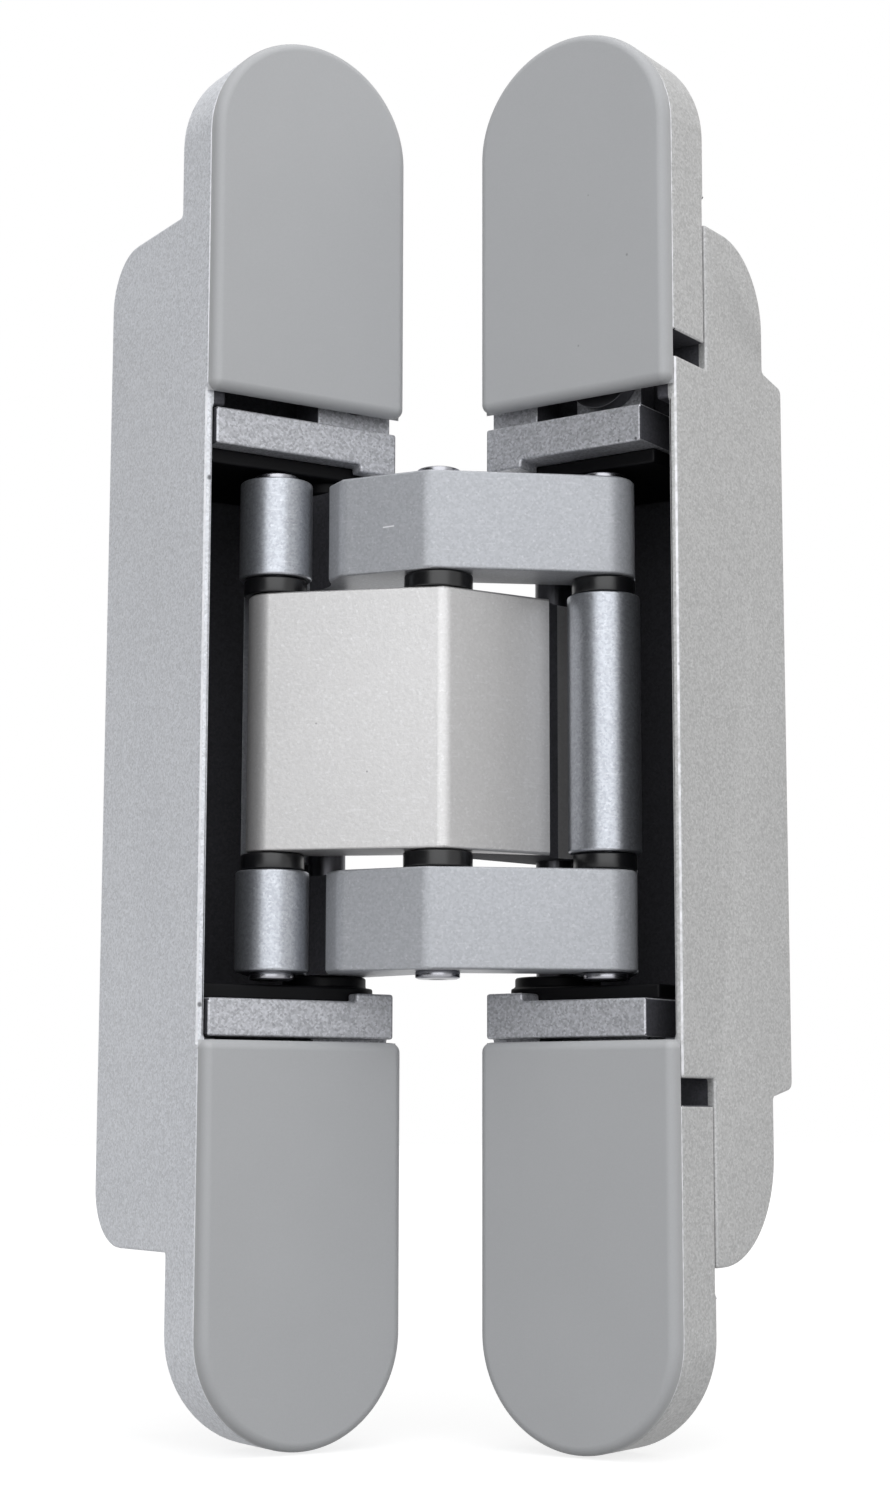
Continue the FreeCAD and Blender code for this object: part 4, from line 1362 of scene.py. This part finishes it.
@dataclass
class Studio:
    """Pale floor and backdrop, soft lamps, and the camera at the photograph's viewing angle."""

    floor_level: float = -80.2 * MM
    floor_size: float = 6.0
    floor_shade: Colour = (0.34, 0.34, 0.34, 1.0)
    glow_reach: tuple[float, float] = (0.2, 0.8)
    glow: tuple[float, float] = (0.78, 0.95)
    card_place: Point = (-0.85, 0.15, 0.0)
    card_size: float = 1.4
    card_turn: float = math.radians(75)
    card_shade: Colour = (0.02, 0.02, 0.022, 1.0)
    camera_place: Point = (-0.13978, -0.25416, -0.0444)
    camera_forward: Point = (0.5247, 0.8395, 0.1415)
    camera_roll: float = math.radians(0.12)
    lens: float = 62.25
    sensor: float = 36.0
    nearest: float = 0.01
    room_light: float = 0.46
    lamps: tuple[SoftBox, ...] = (
        SoftBox("left_lamp", (-0.48, -0.84, 0.48), (0.0, 0.0, 0.02), 1.3, 9.0, (0.97, 0.985, 1.0)),
        SoftBox("right_lamp", (0.80, -0.42, 0.55), (0.02, 0.0, 0.05), 0.6, 0.9, (1.0, 0.96, 0.91)),
        SoftBox("top_lamp", (0.0, -0.15, 0.95), (0.0, 0.0, 0.0), 0.6, 2.4),
    )

    def make(self) -> None:
        """Builds the whole studio."""
        self._floor()
        self._card()
        self._world()
        for lamp in self.lamps:
            lamp.make()
        self._camera()

    @staticmethod
    def _sheet(name: str, size: float, place: Point, turn: Point = (0.0, 0.0, 0.0)) -> tuple[Piece, Wiring]:
        """Adds a flat sheet of the studio with an empty material.

        Args:
            name: Name of the sheet and its material.
            size: Length of its sides.
            place: Its middle.
            turn: Its turn about each axis.

        Returns:
            The sheet and its material's wiring.
        """
        Bench.clear()
        bpy.ops.mesh.primitive_plane_add(size=size, location=place, rotation=turn)
        sheet = bpy.context.active_object
        sheet.name = name
        material = bpy.data.materials.new(name)
        material.use_nodes = True
        material.node_tree.nodes.clear()
        sheet.data.materials.append(material)
        return sheet, Wiring(material.node_tree)

    def _floor(self) -> None:
        """Lays a pale floor that shows white and keeps the shadow."""
        _, wiring = self._sheet("studio_floor", self.floor_size, (0.0, 0.0, self.floor_level))
        matt = wiring.add("ShaderNodeBsdfDiffuse", {"Color": self.floor_shade}).outputs[0]
        away = wiring.vector("LENGTH", wiring.add("ShaderNodeTexCoord").outputs["Object"])["Value"]
        strength = wiring.ramp(away, *self.glow_reach, *self.glow)
        shine = wiring.add("ShaderNodeEmission", {"Color": WHITE, "Strength": strength}).outputs[0]
        both = wiring.add("ShaderNodeAddShader", {0: matt, 1: shine}).outputs[0]
        choice = wiring.add("ShaderNodeMixShader", {0: self._seen(wiring), 1: matt, 2: both}).outputs[0]
        wiring.add("ShaderNodeOutputMaterial", {"Surface": choice})

    def _card(self) -> None:
        """Hangs a dark card beside the hinge, unseen by the camera, that gives round steel its dark side."""
        card, wiring = self._sheet(
            "dark_card", self.card_size, self.card_place, (math.pi / 2, 0.0, self.card_turn)
        )
        shader = wiring.add("ShaderNodeBsdfPrincipled", {"Base Color": self.card_shade, "Roughness": 1.0})
        wiring.add("ShaderNodeOutputMaterial", {"Surface": shader.outputs["BSDF"]})
        card.visible_camera = False
        card.visible_diffuse = False
        card.visible_shadow = False

    def _world(self) -> None:
        """Sets the room's plain light, and white where the camera sees past the floor."""
        world = bpy.data.worlds.new("studio_room")
        bpy.context.scene.world = world
        world.use_nodes = True
        world.node_tree.nodes.clear()
        wiring = Wiring(world.node_tree)
        room, white = (
            wiring.add("ShaderNodeBackground", {"Color": WHITE, "Strength": strength}).outputs[0]
            for strength in (self.room_light, 1.0)
        )
        choice = wiring.add("ShaderNodeMixShader", {0: self._seen(wiring), 1: room, 2: white})
        wiring.add("ShaderNodeOutputWorld", {"Surface": choice.outputs[0]})

    @staticmethod
    def _seen(wiring: Wiring) -> Socket:
        """Tells rays that show the backdrop, straight or in a reflection, from those that light the piece."""
        path = wiring.add("ShaderNodeLightPath").outputs
        mirrored = wiring.maths("ADD", path["Is Glossy Ray"], path["Is Transmission Ray"], clamp=True)
        return wiring.maths("ADD", path["Is Camera Ray"], mirrored, clamp=True)

    def _camera(self) -> None:
        """Sets the camera where the photograph was taken from."""
        data = bpy.data.cameras.new("camera")
        data.sensor_fit = "VERTICAL"
        data.sensor_height = self.sensor
        data.lens = self.lens
        data.clip_start = self.nearest
        camera = bpy.data.objects.new("camera", data)
        scene = bpy.context.scene
        scene.collection.objects.link(camera)
        aim = Vector(self.camera_forward).to_track_quat("-Z", "Y").to_matrix().to_4x4()
        roll = Matrix.Rotation(self.camera_roll, 4, "Z")
        camera.matrix_world = Matrix.Translation(self.camera_place) @ aim @ roll
        scene.camera = camera
        scene.view_settings.view_transform = "Standard"


# ------------------------------------------------------------------------- main

ARM_MARKS = (
    Mark((0.005897, -0.00789, 0.021833), (0.006571, -0.008959, 0.021879), 0.11 * MM, 0.9),
    Mark((0.012496, -0.014753, 0.025479), (0.017839, -0.017851, 0.02576), 0.14 * MM, -0.25),
    Mark.pit(9.379, -13.407, 18.041, 0.16, -0.7),
    Mark.pit(-0.107, -3.485, -0.5, 0.12, -0.5),
    Mark.pit(4.147, -7.546, -6.073, 0.12, -0.5),
)
CARRIAGE_MARKS = (
    Mark.pit(27.279, -23.61, 31.4, 0.2, -0.7),
    Mark.pit(28.156, -25.64, 31.3, 0.22, -0.8),
)
BODY_MARKS = (
    Mark.pit(-11.9, 0.4, 26.97, 0.35, -0.8),
    Mark.pit(-12.1, 0.4, -31.92, 0.35, -0.8),
    Mark.pit(30.6, -30.1, 5.28, 0.25, -0.6),
)
CAP_MARKS = (
    Mark.pit(26.514, -26.503, 52.163, 0.18, -0.4),
    Mark.pit(23.95, -20.57, 42.66, 0.14, -0.35),
    Mark.pit(24.512, -21.871, 60.16, 0.12, -0.3),
)
# Painted light: one coat, lighter on the frame side and darker on the door side for how the light falls; the
# bodies' strong edge lightening is partly a painted highlight on the rims.
BODY_SHADES_WITH_PAINTED_LIGHT = {"frame": shade(214, 216, 221), "door": shade(184, 184, 184)}
FINISHES: dict[str, LayeredFinish | TurnedSteel] = {
    # Painted shade: a dark coat for faces that lie in shade inside the cavities, behind the carriages, on the
    # arms' feet and on the plates' inner faces.
    "cavity": SatinCoat(
        "cavity_coat", shade(74, 74, 79), 0.7, specular=0.15, worn=shade(96, 96, 100),
        edge_amount=0.3, edge_width=0.2 * MM, glint=0.2,
    ),
    "carriage": SatinCoat(
        "carriage_coat", shade(182, 183, 188), 0.45, 0.45, grain_depth=0.5, marks=CARRIAGE_MARKS
    ),
    "leaf": SatinCoat(
        "arm_coat", shade(172, 174, 179), 0.42, 0.2, edge_amount=0.3, grain_depth=0.16, marks=ARM_MARKS
    ),
    "middle": SatinCoat(
        "middle_arm_coat", shade(190, 189, 189), 0.42, 0.6, edge_amount=0.3, grain_depth=0.08, marks=ARM_MARKS
    ),
    "link": SatinCoat("link_coat", shade(158, 161, 167), 0.36, 0.85, grain_depth=0.24),
    "cap": MouldedPlastic(
        "cap_plastic", shade(178, 179, 181), 0.5, worn=shade(204, 205, 207), pebble=0.2, marks=CAP_MARKS
    ),
    "bearing": MouldedPlastic(
        "bearing_plastic", shade(14, 14, 16), 0.5, specular=0.12, worn=shade(40, 40, 44), pebble=0.15
    ),
    "washer": MouldedPlastic(
        "washer_plastic", shade(16, 16, 18), 0.3, specular=0.5, worn=shade(46, 46, 50), pebble=0.1
    ),
    # Painted shade: the plated and inner steels are darker than their bright metal, for the shade of the
    # pockets they sit in.
    "plated": TurnedSteel("plated_steel", shade(90, 90, 94), 0.3),
    "inner": TurnedSteel("inner_steel", shade(84, 84, 88), 0.35),
}
PIN_SHADE, PIN_ROUGHNESS, PIN_PITCH = shade(152, 152, 157), 0.26, 0.16 * MM
CAP_CUTS = {End.UPPER: 36.9 * MM, End.LOWER: -35.7 * MM}


def main() -> None:
    """Builds the whole scene, sub-assembly by sub-assembly."""
    logging.basicConfig(level=logging.INFO, format="%(name)s: %(message)s")
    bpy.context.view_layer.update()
    effects = Effects()
    layout = Layout()
    coats = {
        side: SatinCoat(
            side + "_body_coat", colour, 0.5, 0.25, edge_amount=0.8, marks=BODY_MARKS
        ).build(effects)
        for side, colour in BODY_SHADES_WITH_PAINTED_LIGHT.items()
    }
    made = {name: finish.build(effects) for name, finish in FINISHES.items()}

    def pin_steel(node: str) -> Material:
        """Turned steel with its rings round one pin."""
        return TurnedSteel(
            "steel_" + node, PIN_SHADE, PIN_ROUGHNESS, pin_axis(node), PIN_PITCH
        ).build(effects)

    Castings(layout, coats, made["cavity"], made["carriage"]).make()
    Linkage({
        "outer_leaf_upper": made["leaf"], "outer_leaf_lower": made["leaf"], "middle_arm": made["middle"],
        "frame_link": made["link"], "door_link": made["link"],
    }, made["cavity"]).make()
    Pivots(pin_steel, made["inner"], made["washer"], made["bearing"]).make()
    for side, placing in layout.sides.items():
        for end in End:
            CoverCap(side, end, placing, CAP_CUTS[end]).make(made["cap"])
    Adjusters(made["plated"]).make()
    Studio().make()


if __name__ == "__main__":
    main()
